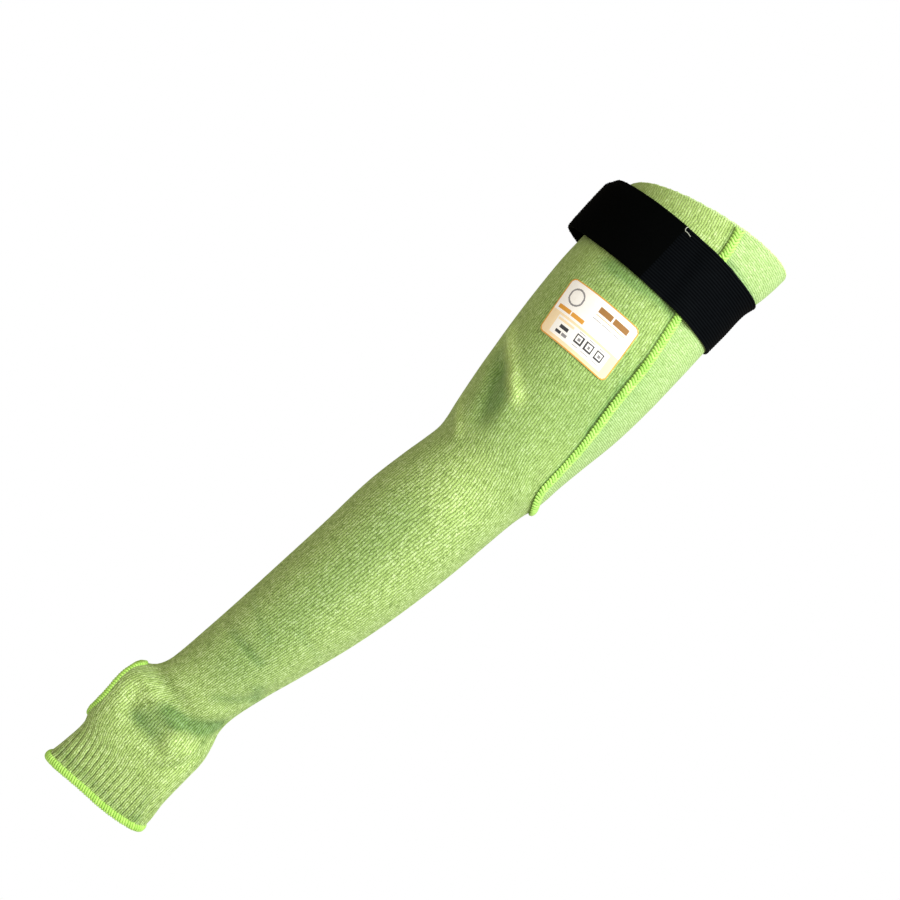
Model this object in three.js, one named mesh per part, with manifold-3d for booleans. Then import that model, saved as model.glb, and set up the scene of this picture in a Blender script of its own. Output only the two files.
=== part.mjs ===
// A knitted cut resistant sleeve with a thumb hole, an elbow gusset and a strap round the upper arm.
// Millimetres, +Z up to the shoulder. The origin is the middle of the upper arm opening.
// The arm hangs down: +X is the elbow's outer side, -X the thumb's side and -Y the front.
import * as THREE from 'three';
import Module from 'manifold-3d';

const wasm = await Module();
wasm.setup();

// Main sizes of the sleeve
const sleeveLength = 558.8;
const armHalfWidth = 61;
const armHalfDepth = 52.5;
const clothThickness = 1.8;
const pieceGap = 0.3;

// The raw upper edge slopes down to the inner side and stands higher in front
const hemOuterRise = 16;
const hemFrontRise = 5;

// Ribbed cuff and its bound edge
const cuffOuterRise = 6;
const cuffRibHeight = 38;
const cuffRibPitch = 4.97;
const cuffRibDepth = 0.8;
const cuffBindingWidth = 5;
const cuffBindingThickness = 3;

// Thumb hole on the inner side of the hand, measured inside its binding
const thumbHoleHeight = 60.3;
const thumbHoleLength = 44;
const thumbHoleWidth = 23;
const thumbBindingWidth = 4.5;
const thumbBindingThickness = 2.8;

// Elbow gusset: it is as wide as the seam's table says and ends in a round tip
const gussetTipDrop = 213;
const gussetTipRadius = 17;
const seamWidth = 5.6;
const seamThickness = 1.8;
const seamClearance = 0.6;

// Strap round the upper arm: elastic in front and outside, plush tape on the inner side
const strapDrop = 37.5;
const strapOuterRise = 4.5;
const strapWidth = 45;
const strapPress = 1.2;
const strapStandOff = 9.9;
const strapStandOffTurn = 183;
const strapStandOffSpread = 32;
const strapTopCurl = 6.6;
const strapBottomCurl = 0.4;
const strapEdgeCorner = 5;
const strapColumnTurn = 6;
const strapPressShare = 0.7;
const strapBridgeShare = 2.1;
const elasticThickness = 1.8;
const plushThickness = 2.6;
const hookPadThickness = 1.4;
const strapJointTurn = 100;
const plushEndTurn = 262;
const hookPadStartTurn = 236;
const hookPadEndTurn = 259;
const elasticEndTurn = 233;

// Label on the front of the upper arm
const labelWidth = 56;
const labelHeight = 40.5;
const labelThickness = 0.6;
const labelCorner = 4;
const labelDrop = 106.3;
const labelTurn = 104;
const labelTilt = 6;

// Sections of the sleeve's outside from the top down. at is the share of the sleeve's length below the
// origin, inner and outer are shares of the arm's half width, depth is a share of its half depth, and square
// is the outline's power, 2 for an ellipse.
const sections = [
  { at: -0.043, inner: 0.943, outer: 1.03, depth: 1.0, square: 2.0 },
  { at: 0.01, inner: 0.918, outer: 1.036, depth: 1.0, square: 2.0 },
  { at: 0.036, inner: 0.903, outer: 1.003, depth: 0.995, square: 2.0 },
  { at: 0.072, inner: 0.885, outer: 1.024, depth: 0.99, square: 2.0 },
  { at: 0.125, inner: 0.839, outer: 1.036, depth: 0.971, square: 2.0 },
  { at: 0.197, inner: 0.751, outer: 1.074, depth: 0.943, square: 2.0 },
  { at: 0.251, inner: 0.664, outer: 1.079, depth: 0.905, square: 2.0 },
  { at: 0.304, inner: 0.566, outer: 1.046, depth: 0.857, square: 2.0 },
  { at: 0.34, inner: 0.49, outer: 1.026, depth: 0.82, square: 2.0 },
  { at: 0.362, inner: 0.44, outer: 1.023, depth: 0.797, square: 2.0 },
  { at: 0.378, inner: 0.4, outer: 1.01, depth: 0.78, square: 2.0 },
  { at: 0.393, inner: 0.377, outer: 0.978, depth: 0.768, square: 2.0 },
  { at: 0.412, inner: 0.39, outer: 0.955, depth: 0.762, square: 2.0 },
  { at: 0.447, inner: 0.43, outer: 0.938, depth: 0.762, square: 2.0 },
  { at: 0.501, inner: 0.472, outer: 0.915, depth: 0.762, square: 2.0 },
  { at: 0.573, inner: 0.467, outer: 0.856, depth: 0.733, square: 2.0 },
  { at: 0.644, inner: 0.472, outer: 0.762, depth: 0.676, square: 2.0 },
  { at: 0.716, inner: 0.479, outer: 0.623, depth: 0.59, square: 2.0 },
  { at: 0.77, inner: 0.492, outer: 0.508, depth: 0.514, square: 2.05 },
  { at: 0.805, inner: 0.505, outer: 0.446, depth: 0.457, square: 2.1 },
  { at: 0.825, inner: 0.528, outer: 0.43, depth: 0.434, square: 2.2 },
  { at: 0.841, inner: 0.598, outer: 0.446, depth: 0.419, square: 2.4 },
  { at: 0.855, inner: 0.745, outer: 0.495, depth: 0.419, square: 2.8 },
  { at: 0.877, inner: 0.804, outer: 0.557, depth: 0.419, square: 3.2 },
  { at: 0.904, inner: 0.79, outer: 0.574, depth: 0.4, square: 3.2 },
  { at: 0.927, inner: 0.745, outer: 0.584, depth: 0.371, square: 3.0 },
  { at: 0.948, inner: 0.66, outer: 0.598, depth: 0.343, square: 2.8 },
  { at: 0.975, inner: 0.656, outer: 0.639, depth: 0.324, square: 2.7 },
  { at: 1.02, inner: 0.69, outer: 0.65, depth: 0.314, square: 2.7 },
];

// Half angle of the gusset, in degrees either side of +X, down the sleeve
const gussetEdges = [
  { at: -0.03, turn: 80 },
  { at: 0.022, turn: 71 },
  { at: 0.102, turn: 63.4 },
  { at: 0.17, turn: 56 },
  { at: 0.233, turn: 52 },
  { at: 0.299, turn: 41.8 },
  { at: 0.34, turn: 37 },
  { at: 0.381, turn: 35 },
];

// Folds and dents: each runs between two places on the cloth. Turns are degrees from +X by way of the front,
// width and height are shares of the arm's half width, and a height below nought is a dent.
const folds = [
  { fromAt: 0.277, fromTurn: 160, toAt: 0.298, toTurn: 140, width: 0.13, height: -0.045 },
  { fromAt: 0.298, fromTurn: 140, toAt: 0.349, toTurn: 126, width: 0.13, height: -0.045 },
  { fromAt: 0.277, fromTurn: 200, toAt: 0.34, toTurn: 230, width: 0.15, height: -0.04 },
  { fromAt: 0.256, fromTurn: 157, toAt: 0.305, toTurn: 113, width: 0.085, height: 0.024 },
  { fromAt: 0.355, fromTurn: 159, toAt: 0.387, toTurn: 135, width: 0.085, height: 0.02 },
  { fromAt: 0.351, fromTurn: 53, toAt: 0.397, toTurn: 22, width: 0.07, height: -0.018 },
  { fromAt: 0.742, fromTurn: 148, toAt: 0.738, toTurn: 74, width: 0.07, height: -0.014 },
  { fromAt: 0.757, fromTurn: 20, toAt: 0.802, toTurn: 49, width: 0.1, height: -0.02 },
  { fromAt: 0.839, fromTurn: 152, toAt: 0.84, toTurn: 92, width: 0.08, height: -0.027 },
  { fromAt: 0.848, fromTurn: 70, toAt: 0.829, toTurn: 25, width: 0.08, height: -0.027 },
  { fromAt: 0.867, fromTurn: 117, toAt: 0.892, toTurn: 100, width: 0.1, height: -0.02 },
  { fromAt: 0.892, fromTurn: 100, toAt: 0.9, toTurn: 81, width: 0.1, height: -0.02 },
  { fromAt: 0.942, fromTurn: 47, toAt: 0.969, toTurn: 21, width: 0.1, height: -0.02 },
];

// Spacing of the rows of faces down the sleeve, which is closer from the wrist on
const topRowStep = 10;
const armRowStep = 16;
const handRowStep = 9.5;
const wristHeight = 106.8;
const tipSteps = 4;

const radians = THREE.MathUtils.degToRad;
const degrees = THREE.MathUtils.radToDeg;
const ringSteps = 180;
const settlePasses = 5;
const searchPasses = 24;

// Value of one column of a table at a share of the length, on a smooth curve through its rows
function smoothValue(table, column, at) {
  const last = table.length - 2;
  let row = table.findIndex((entry) => entry.at > at) - 1;
  row = row < 0 ? (at < table[0].at ? 0 : last) : row;
  const slopeAt = (i) => {
    const before = table[Math.max(i - 1, 0)];
    const after = table[Math.min(i + 1, table.length - 1)];
    return (after[column] - before[column]) / (after.at - before.at);
  };
  const low = table[row];
  const high = table[row + 1];
  const span = high.at - low.at;
  const t = THREE.MathUtils.clamp((at - low.at) / span, 0, 1);
  const t2 = t * t;
  const t3 = t2 * t;
  return (2 * t3 - 3 * t2 + 1) * low[column] + (t3 - 2 * t2 + t) * span * slopeAt(row)
    + (3 * t2 - 2 * t3) * high[column] + (t3 - t2) * span * slopeAt(row + 1);
}

// The arm's section at a height: its middle, half sizes and squareness
function sectionAt(z) {
  const at = -z / sleeveLength;
  const inner = smoothValue(sections, 'inner', at) * armHalfWidth;
  const outer = smoothValue(sections, 'outer', at) * armHalfWidth;
  return {
    middle: (outer - inner) / 2,
    halfWidth: (outer + inner) / 2,
    halfDepth: smoothValue(sections, 'depth', at) * armHalfDepth,
    square: smoothValue(sections, 'square', at),
  };
}

const signedPower = (value, power) => Math.sign(value) * Math.abs(value) ** power;

// Signed difference of two turns, in degrees
const turnBetween = (a, b) => THREE.MathUtils.euclideanModulo(a - b + 180, 360) - 180;

const bell = (value) => Math.exp(-value * value);

// How far the folds and the strap's pressure move the cloth out
function relief(z, turn, section) {
  const radius = (section.halfWidth + section.halfDepth) / 2;
  let out = 0;
  for (const fold of folds) {
    const fromZ = -fold.fromAt * sleeveLength;
    const runZ = -fold.toAt * sleeveLength - fromZ;
    const runAcross = radians(turnBetween(fold.toTurn, fold.fromTurn)) * radius;
    const z1 = z - fromZ;
    const across1 = radians(turnBetween(turn, fold.fromTurn)) * radius;
    const along = (z1 * runZ + across1 * runAcross) / (runZ ** 2 + runAcross ** 2);
    const share = THREE.MathUtils.clamp(along, 0, 1);
    const distance = Math.hypot(z1 - share * runZ, across1 - share * runAcross);
    out += fold.height * armHalfWidth * bell(distance / (fold.width * armHalfWidth));
  }
  const pressedWidth = strapPressShare * strapWidth;
  return out - strapPress * bell(((z - strapHeight(turn)) / pressedWidth) ** 2);
}

// A point on or off the sleeve's outside, and the direction out of it, at a height and a turn
function surface(z, turn, offset) {
  const section = sectionAt(z);
  const c = Math.cos(radians(turn));
  const s = Math.sin(radians(turn));
  const x = signedPower(c, 2 / section.square);
  const y = -signedPower(s, 2 / section.square);
  const normal = new THREE.Vector3(
    signedPower(x, section.square - 1) / section.halfWidth,
    signedPower(y, section.square - 1) / section.halfDepth,
    0,
  ).normalize();
  const point = new THREE.Vector3(section.middle + section.halfWidth * x, section.halfDepth * y, z);
  point.addScaledVector(normal, relief(z, turn, section) + offset);
  return { point, normal };
}

// Turns that share the section's outline evenly: even steps of cloth round the arm
function evenTurns(z, count) {
  const lengths = [0];
  let before = surface(z, 0, 0).point;
  for (let i = 1; i <= ringSteps; i += 1) {
    const next = surface(z, (360 * i) / ringSteps, 0).point;
    lengths.push(lengths[i - 1] + next.distanceTo(before));
    before = next;
  }
  const turns = [];
  let i = 0;
  for (let k = 0; k < count; k += 1) {
    const wanted = (lengths[ringSteps] * k) / count;
    while (lengths[i + 1] < wanted) i += 1;
    const share = (wanted - lengths[i]) / (lengths[i + 1] - lengths[i]);
    turns.push((360 * (i + share)) / ringSteps);
  }
  return { turns, length: lengths[ringSteps] };
}

const cuffLength = evenTurns(-sleeveLength, 1).length;
const ribCount = Math.round(cuffLength / cuffRibPitch);

function strapHeight(turn) {
  return -strapDrop + strapOuterRise * Math.cos(radians(turn));
}

// Height of the cuff's lower edge
function cuffHeight(turn) {
  return -sleeveLength + cuffOuterRise * Math.cos(radians(turn));
}

// Half angle of the gusset at a height, in degrees, nought at its tip
function gussetTurn(z) {
  const share = (z + gussetTipDrop) / gussetTipRadius;
  if (share <= 0) return 0;
  const straight = smoothValue(gussetEdges, 'turn', -z / sleeveLength);
  return share < 1 ? straight * Math.sqrt(1 - (1 - share) ** 2) : straight;
}

// Row levels between key levels, each with its slope and the spacing below it
function spacedLevels(keys) {
  const levels = [];
  keys.forEach((key, i) => {
    levels.push(key);
    const next = keys[i + 1];
    if (!next) return;
    const steps = Math.max(1, Math.round((next.drop - key.drop) / key.step));
    for (let k = 1; k < steps; k += 1) {
      const mix = (name) => THREE.MathUtils.lerp(key[name], next[name], k / steps);
      levels.push({ drop: mix('drop'), slope: mix('slope'), rise: mix('rise') });
    }
  });
  return levels;
}

const levelAt = (drop, slope, step) => ({ drop, slope, rise: 0, step });

// Levels from the hem down to the gusset's tip, closer together round the tip
function upperLevels() {
  const levels = spacedLevels([
    { drop: 0, slope: hemOuterRise, rise: hemFrontRise, step: topRowStep },
    levelAt(strapDrop - strapWidth / 2, strapOuterRise, topRowStep),
    levelAt(strapDrop + strapWidth / 2, strapOuterRise, armRowStep),
    levelAt(strapDrop + strapWidth, 0, armRowStep),
    levelAt(gussetTipDrop - gussetTipRadius, 0, armRowStep),
  ]);
  for (let k = 1; k <= tipSteps; k += 1) {
    const angle = (Math.PI / 2) * (k / tipSteps);
    levels.push(levelAt(gussetTipDrop - gussetTipRadius * (1 - Math.sin(angle)), 0, armRowStep));
  }
  return levels;
}

const levelHeight = (level, turn) =>
  -level.drop + level.slope * Math.cos(radians(turn)) + level.rise * Math.sin(radians(turn));

// A mesh from points and triangles
function meshGeometry(points, triangles) {
  const geometry = new THREE.BufferGeometry();
  const places = points.flatMap((p) => [p.x, p.y, p.z]);
  geometry.setAttribute('position', new THREE.Float32BufferAttribute(places, 3));
  geometry.setIndex(triangles.flat());
  return geometry;
}

// A sheet that has its outer and inner points gets a wall: both faces and a rim along each open edge
function wallGeometry(outer, inner, triangles) {
  const count = outer.length;
  const edges = new Map();
  for (const [a, b, c] of triangles) {
    for (const [p, q] of [[a, b], [b, c], [c, a]]) {
      const twin = `${q} ${p}`;
      if (edges.has(twin)) edges.delete(twin);
      else edges.set(`${p} ${q}`, [p, q]);
    }
  }
  const all = [...triangles];
  for (const [a, b, c] of triangles) all.push([a + count, c + count, b + count]);
  for (const [p, q] of edges.values()) {
    all.push([q, p, p + count]);
    all.push([q, p + count, q + count]);
  }
  return meshGeometry([...outer, ...inner], all);
}

// Triangles of a quad, without those that have run together
function quadTriangles(a, b, c, d) {
  return [[a, b, c], [a, c, d]].filter(([p, q, r]) => p !== q && q !== r && r !== p);
}

// A closed outline swept along frames of point, out and side directions
function sweptGeometry(frames, outline, closed) {
  const sides = outline.length;
  const points = frames.flatMap(({ point, out, side }) => outline.map(([across, up]) =>
    point.clone().addScaledVector(side, across).addScaledVector(out, up)));
  const triangles = [];
  const spans = closed ? frames.length : frames.length - 1;
  for (let i = 0; i < spans; i += 1) {
    const here = i * sides;
    const there = ((i + 1) % frames.length) * sides;
    for (let k = 0; k < sides; k += 1) {
      const next = (k + 1) % sides;
      triangles.push(...quadTriangles(here + k, there + k, there + next, here + next));
    }
  }
  if (!closed) {
    const end = (frames.length - 1) * sides;
    for (let k = 1; k < sides - 1; k += 1) {
      triangles.push([0, k, k + 1]);
      triangles.push([end, end + k + 1, end + k]);
    }
  }
  return meshGeometry(points, triangles);
}

// Frames along a path on the cloth. The path gives places of height and turn.
function surfaceFrames(places, offset, closed) {
  const spots = places.map(({ z, turn }) => surface(z, turn, offset));
  const count = spots.length;
  return spots.map(({ point, normal }, i) => {
    const before = closed ? spots[(i + count - 1) % count] : spots[Math.max(i - 1, 0)];
    const after = closed ? spots[(i + 1) % count] : spots[Math.min(i + 1, count - 1)];
    const along = after.point.clone().sub(before.point).normalize();
    const side = new THREE.Vector3().crossVectors(along, normal).normalize();
    return { point, side, out: new THREE.Vector3().crossVectors(side, along) };
  });
}

// A low rounded bead, flat below, with its points counterclockwise from across to up
function beadOutline(width, thickness) {
  const half = width / 2;
  return [
    [-half, 0], [half, 0], [half, 0.45 * thickness],
    [0.5 * half, thickness], [-0.5 * half, thickness], [-half, 0.45 * thickness],
  ];
}

// A rounded edge binding, centred on the cloth's own middle
function bindingOutline(width, thickness) {
  const half = width / 2;
  const rise = thickness / 2;
  return [
    [-half, 0], [-0.5 * half, -rise], [0.5 * half, -rise],
    [half, 0], [0.5 * half, rise], [-0.5 * half, rise],
  ];
}

// Turn at which a level meets an edge of the gusset: side is 1 for the front one and -1 for the back one
function edgeTurn(level, side) {
  let turn = 0;
  for (let pass = 0; pass < settlePasses; pass += 1) turn = side * gussetTurn(levelHeight(level, turn));
  return turn;
}

// Half of the gap between tube and gusset, as a turn
const gapTurn = degrees(pieceGap / 2 / armHalfDepth);

// Outer and inner points of a sheet of cloth, which share their numbers
function clothPoints() {
  const outer = [];
  const inner = [];
  const add = (z, turn, push) => {
    outer.push(surface(z, turn, push).point);
    inner.push(surface(z, turn, push - clothThickness).point);
    return outer.length - 1;
  };
  return { outer, inner, add };
}

// One ring of the tube. Above the gusset's tip its first and last points lie on the gusset's edges.
function tubeRow(cloth, level, ribStart) {
  const ribbed = level.drop >= ribStart;
  const open = level.drop < gussetTipDrop;
  const front = edgeTurn(level, 1) + gapTurn;
  const back = 360 + edgeTurn(level, -1) - gapTurn;
  const addAt = (turn, push) => cloth.add(levelHeight(level, turn), turn, push);
  const edges = open ? [addAt(front, 0), addAt(back, 0)] : [];
  const fade = THREE.MathUtils.smoothstep(level.drop, ribStart, ribStart + cuffRibHeight / 2);
  const { turns } = evenTurns(-level.drop, ribbed ? 2 * ribCount : ribCount);
  const indices = turns.map((turn, i) => {
    if (open && turn <= front) return edges[0];
    if (open && turn >= back) return edges[1];
    return addAt(turn, ribbed && i % 2 === 1 ? -cuffRibDepth * fade : 0);
  });
  return { indices, last: open ? edges[1] : indices[0] };
}

// The knitted tube, open at the hem, the cuff and the gusset. Its rows have twice as many points in the ribs.
function tubeGeometry() {
  const clothEnd = sleeveLength - cuffBindingWidth - pieceGap;
  const ribStart = clothEnd - cuffRibHeight;
  const below = spacedLevels([
    levelAt(gussetTipDrop, 0, armRowStep),
    levelAt(sleeveLength - wristHeight, 0, handRowStep),
    levelAt(ribStart, 0, handRowStep),
    levelAt(clothEnd, cuffOuterRise, handRowStep),
  ]);
  const cloth = clothPoints();
  const rows = [...upperLevels(), ...below.slice(1)].map((level) => tubeRow(cloth, level, ribStart));
  const triangles = [];
  for (let j = 0; j < rows.length - 1; j += 1) {
    const upper = [...rows[j].indices, rows[j].last];
    const lower = [...rows[j + 1].indices, rows[j + 1].last];
    for (let i = 0; i < upper.length - 1; i += 1) {
      const [a, b] = [upper[i], upper[i + 1]];
      if (lower.length === upper.length) {
        triangles.push(...quadTriangles(a, b, lower[i + 1], lower[i]));
      } else {
        const [c, d, e] = [lower[2 * i], lower[2 * i + 1], lower[2 * i + 2]];
        triangles.push([a, d, c], [a, b, d], [b, e, d]);
      }
    }
  }
  return wallGeometry(cloth.outer, cloth.inner, triangles);
}

// The knitted panel let into the tube, from the hem down to its round tip
function gussetGeometry() {
  const columns = 14;
  const cloth = clothPoints();
  const levels = upperLevels().slice(0, -1);
  const rows = levels.map((level) => {
    const front = edgeTurn(level, 1) - gapTurn;
    const back = edgeTurn(level, -1) + gapTurn;
    const row = [];
    for (let i = 0; i <= columns; i += 1) {
      const turn = THREE.MathUtils.lerp(back, front, i / columns);
      row.push(cloth.add(levelHeight(level, turn), turn, 0));
    }
    return row;
  });
  const tip = cloth.add(pieceGap - gussetTipDrop, 0, 0);
  rows.push(Array.from({ length: columns + 1 }, () => tip));
  const triangles = [];
  for (let j = 0; j < rows.length - 1; j += 1) {
    for (let i = 0; i < columns; i += 1) {
      triangles.push(...quadTriangles(rows[j][i], rows[j][i + 1], rows[j + 1][i + 1], rows[j + 1][i]));
    }
  }
  return wallGeometry(cloth.outer, cloth.inner, triangles);
}

// One half of the seam's line, from the hem to the gusset's tip: side is 1 in front and -1 at the back
function seamHalf(side) {
  const hem = { drop: 0, slope: hemOuterRise, rise: hemFrontRise };
  const start = levelHeight(hem, edgeTurn(hem, side));
  const shoulder = gussetTipRadius - gussetTipDrop;
  const straightSteps = 20;
  const roundSteps = 6;
  const heights = [];
  for (let i = 0; i < straightSteps; i += 1) {
    heights.push(THREE.MathUtils.lerp(start, shoulder, i / straightSteps));
  }
  for (let i = 0; i < roundSteps; i += 1) {
    heights.push(shoulder - gussetTipRadius * Math.sin((Math.PI / 2) * (i / roundSteps)));
  }
  return heights.map((z) => ({ z, turn: side * gussetTurn(z) }));
}

// The overlock bead that joins tube and gusset: down one edge, round the tip and up the other
function seamGeometry() {
  const places = [...seamHalf(1), { z: -gussetTipDrop, turn: 0 }, ...seamHalf(-1).reverse()];
  return sweptGeometry(surfaceFrames(places, seamClearance, false), beadOutline(seamWidth, seamThickness), false);
}

// The bound lower edge of the cuff
function cuffBindingGeometry() {
  const { turns } = evenTurns(-sleeveLength, ribCount);
  const middle = cuffBindingWidth / 2;
  const places = turns.map((turn) => ({ z: cuffHeight(turn) + middle, turn }));
  const frames = surfaceFrames(places, -clothThickness / 2, true);
  return sweptGeometry(frames, bindingOutline(cuffBindingWidth, cuffBindingThickness), true);
}

// Turn on the thumb's side at which the cloth stands as far forward as y
function turnAtDepth(z, y) {
  let low = 90;
  let high = 270;
  for (let pass = 0; pass < searchPasses; pass += 1) {
    const turn = (low + high) / 2;
    if (surface(z, turn, -clothThickness / 2).point.y < y) low = turn;
    else high = turn;
  }
  return (low + high) / 2;
}

// The bound edge of the thumb hole
function thumbBindingGeometry() {
  const steps = 26;
  const halfWidth = (thumbHoleWidth + thumbBindingWidth) / 2;
  const halfLength = (thumbHoleLength + thumbBindingWidth) / 2;
  const places = [];
  for (let i = 0; i < steps; i += 1) {
    const angle = (2 * Math.PI * i) / steps;
    const z = thumbHoleHeight - sleeveLength + halfLength * Math.sin(angle);
    places.push({ z, turn: turnAtDepth(z, halfWidth * Math.cos(angle)) });
  }
  const frames = surfaceFrames(places, -clothThickness / 2, true);
  return sweptGeometry(frames, bindingOutline(thumbBindingWidth, thumbBindingThickness), true);
}

// The cutter of the thumb hole: an oval bar through the inner side of the hand
function thumbCutter() {
  const margin = thumbBindingWidth + pieceGap;
  const oval = new THREE.Shape();
  oval.absellipse(0, 0, thumbHoleWidth / 2 + margin, thumbHoleLength / 2 + margin, 0, 2 * Math.PI);
  const depth = armHalfWidth;
  const bar = new THREE.ExtrudeGeometry(oval, { depth, bevelEnabled: false, curveSegments: 14 });
  bar.applyMatrix4(new THREE.Matrix4().makeBasis(
    new THREE.Vector3(0, 1, 0),
    new THREE.Vector3(0, 0, 1),
    new THREE.Vector3(1, 0, 0),
  ));
  const inside = sectionAt(thumbHoleHeight - sleeveLength).middle;
  bar.translate(inside - depth, 0, thumbHoleHeight - sleeveLength);
  return bar;
}

// A solid for joining and cutting, from a mesh whose equal points are made one
function toSolid(geometry) {
  const position = geometry.getAttribute('position');
  const index = geometry.getIndex();
  const corners = index ? Array.from(index.array) : Array.from({ length: position.count }, (_, i) => i);
  const places = new Map();
  const vertices = [];
  const triangles = corners.map((corner) => {
    const place = [position.getX(corner), position.getY(corner), position.getZ(corner)];
    const key = place.map((value) => value.toFixed(4)).join(' ');
    if (!places.has(key)) {
      places.set(key, vertices.length / 3);
      vertices.push(...place);
    }
    return places.get(key);
  });
  return new wasm.Manifold(new wasm.Mesh({
    numProp: 3,
    vertProperties: new Float32Array(vertices),
    triVerts: new Uint32Array(triangles),
  }));
}

function fromSolid(solid) {
  const mesh = solid.getMesh();
  const geometry = new THREE.BufferGeometry();
  geometry.setAttribute('position', new THREE.Float32BufferAttribute(Array.from(mesh.vertProperties), 3));
  geometry.setIndex(Array.from(mesh.triVerts));
  return geometry;
}

// How far the strap's inner face stands off the cloth, at a turn and a share of its width from the top. It
// bridges the seam, and on the inner side it stands away, with its edges curled in.
function strapOffset(turn, share) {
  const z = strapHeight(turn) + (0.5 - share) * strapWidth;
  const fromSeam = radians(Math.abs(turnBetween(turn, 0)) - gussetTurn(z)) * armHalfDepth;
  const bridgeWidth = strapBridgeShare * seamWidth;
  const bridge = (seamThickness + seamClearance) * bell((fromSeam / bridgeWidth) ** 2);
  const away = bell(turnBetween(turn, strapStandOffTurn) / strapStandOffSpread);
  const topCurl = strapTopCurl * THREE.MathUtils.smoothstep(0.35 - share, 0, 0.35);
  const bottomCurl = strapBottomCurl * THREE.MathUtils.smoothstep(share - 0.85, 0, 0.15);
  return pieceGap + bridge + away * (strapStandOff - topCurl - bottomCurl);
}

// A stretch of strap between two turns, lifted off the strap's own line as lift says
function strapGeometry(fromTurn, toTurn, thickness, lift) {
  const columns = Math.max(3, Math.round((toTurn - fromTurn) / strapColumnTurn));
  const edge = strapEdgeCorner / strapWidth;
  const shares = [0, edge, 0.5, 1 - edge, 1];
  const outer = [];
  const inner = [];
  for (let i = 0; i <= columns; i += 1) {
    const turn = THREE.MathUtils.lerp(fromTurn, toTurn, i / columns);
    for (const share of shares) {
      const z = strapHeight(turn) + (0.5 - share) * strapWidth;
      const offset = strapOffset(turn, share) + lift(turn);
      inner.push(surface(z, turn, offset).point);
      outer.push(surface(z, turn, offset + thickness).point);
    }
  }
  const rows = shares.length;
  const triangles = [];
  for (let i = 0; i < columns; i += 1) {
    for (let k = 0; k < rows - 1; k += 1) {
      const a = i * rows + k;
      triangles.push(...quadTriangles(a, a + rows, a + rows + 1, a + 1));
    }
  }
  return wallGeometry(outer, inner, triangles);
}

const plushGeometry = () =>
  strapGeometry(strapJointTurn, plushEndTurn, plushThickness, () => 0);

// The elastic runs from the joint in front over the outer side, and its end lies over the plush tape
function elasticGeometry() {
  const overlap = plushThickness + hookPadThickness + 2 * pieceGap;
  const plushEnd = plushEndTurn - 360;
  const clearTurn = 3;
  const rampTurn = 25;
  const lift = (turn) =>
    overlap * (1 - THREE.MathUtils.smoothstep(turn, plushEnd + clearTurn, plushEnd + clearTurn + rampTurn));
  return strapGeometry(elasticEndTurn - 360, strapJointTurn - 4 * gapTurn, elasticThickness, lift);
}

const hookPadGeometry = () =>
  strapGeometry(hookPadStartTurn, hookPadEndTurn, hookPadThickness, () => plushThickness + pieceGap);

// The label follows the cloth, with round corners
function labelGeometry() {
  const columns = 9;
  const middleRows = 4;
  const dips = [0, 0.3, 1].map((share) => share * labelCorner);
  const heights = [...dips];
  for (let i = 1; i < middleRows; i += 1) {
    heights.push(THREE.MathUtils.lerp(labelCorner, labelHeight - labelCorner, i / middleRows));
  }
  heights.push(...dips.map((dip) => labelHeight - dip).reverse());
  const tilt = radians(labelTilt);
  const outer = [];
  const inner = [];
  for (const height of heights) {
    const dip = Math.min(height, labelHeight - height, labelCorner);
    const half = labelWidth / 2 - labelCorner + Math.sqrt(labelCorner ** 2 - (labelCorner - dip) ** 2);
    for (let i = 0; i <= columns; i += 1) {
      const across = THREE.MathUtils.lerp(-half, half, i / columns);
      const up = labelHeight / 2 - height;
      const z = -labelDrop + up * Math.cos(tilt) + across * Math.sin(tilt);
      const arc = across * Math.cos(tilt) - up * Math.sin(tilt);
      const turn = labelTurn - degrees(arc / armHalfDepth);
      inner.push(surface(z, turn, pieceGap).point);
      outer.push(surface(z, turn, pieceGap + labelThickness).point);
    }
  }
  const width = columns + 1;
  const triangles = [];
  for (let j = 0; j < heights.length - 1; j += 1) {
    for (let i = 0; i < columns; i += 1) {
      const a = j * width + i;
      triangles.push(...quadTriangles(a, a + width, a + width + 1, a + 1));
    }
  }
  return wallGeometry(outer, inner, triangles);
}

const knit = { color: 0xa0bc72, roughness: 0.95, metalness: 0 };
const gussetKnit = { color: 0xbfe296, roughness: 0.95, metalness: 0 };
const limeThread = { color: 0xbdf07a, roughness: 0.8, metalness: 0 };
const blackPlush = { color: 0x050606, roughness: 1, metalness: 0 };
const blackElastic = { color: 0x101418, roughness: 0.85, metalness: 0 };
const blackHook = { color: 0x0a0b0c, roughness: 0.7, metalness: 0 };
const labelCloth = { color: 0xf5f3ee, roughness: 0.7, metalness: 0 };

const group = new THREE.Group();

function addPiece(name, geometry, finish) {
  const mesh = new THREE.Mesh(geometry, new THREE.MeshStandardMaterial(finish));
  mesh.name = name;
  group.add(mesh);
}

addPiece('sleeve_tube', fromSolid(toSolid(tubeGeometry()).subtract(toSolid(thumbCutter()))), knit);
addPiece('elbow_gusset', gussetGeometry(), gussetKnit);
addPiece('gusset_seam', seamGeometry(), limeThread);
addPiece('cuff_binding', cuffBindingGeometry(), limeThread);
addPiece('thumb_binding', thumbBindingGeometry(), limeThread);
addPiece('strap_elastic', elasticGeometry(), blackElastic);
addPiece('strap_loop_tape', plushGeometry(), blackPlush);
addPiece('strap_hook_pad', hookPadGeometry(), blackHook);
addPiece('label_patch', labelGeometry(), labelCloth);

export default group;
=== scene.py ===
"""The looks of a knitted cut resistant sleeve: knit, overlock seam, bound edges, strap and label.

Metres, +Z up to the shoulder, +X to the elbow's outer side, -X to the thumb, -Y to the front.
A place on the cloth is a height and a turn, in degrees from +X by way of the front.
"""

import logging
import math
from dataclasses import dataclass
from enum import Enum
from typing import Callable, NamedTuple

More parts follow.
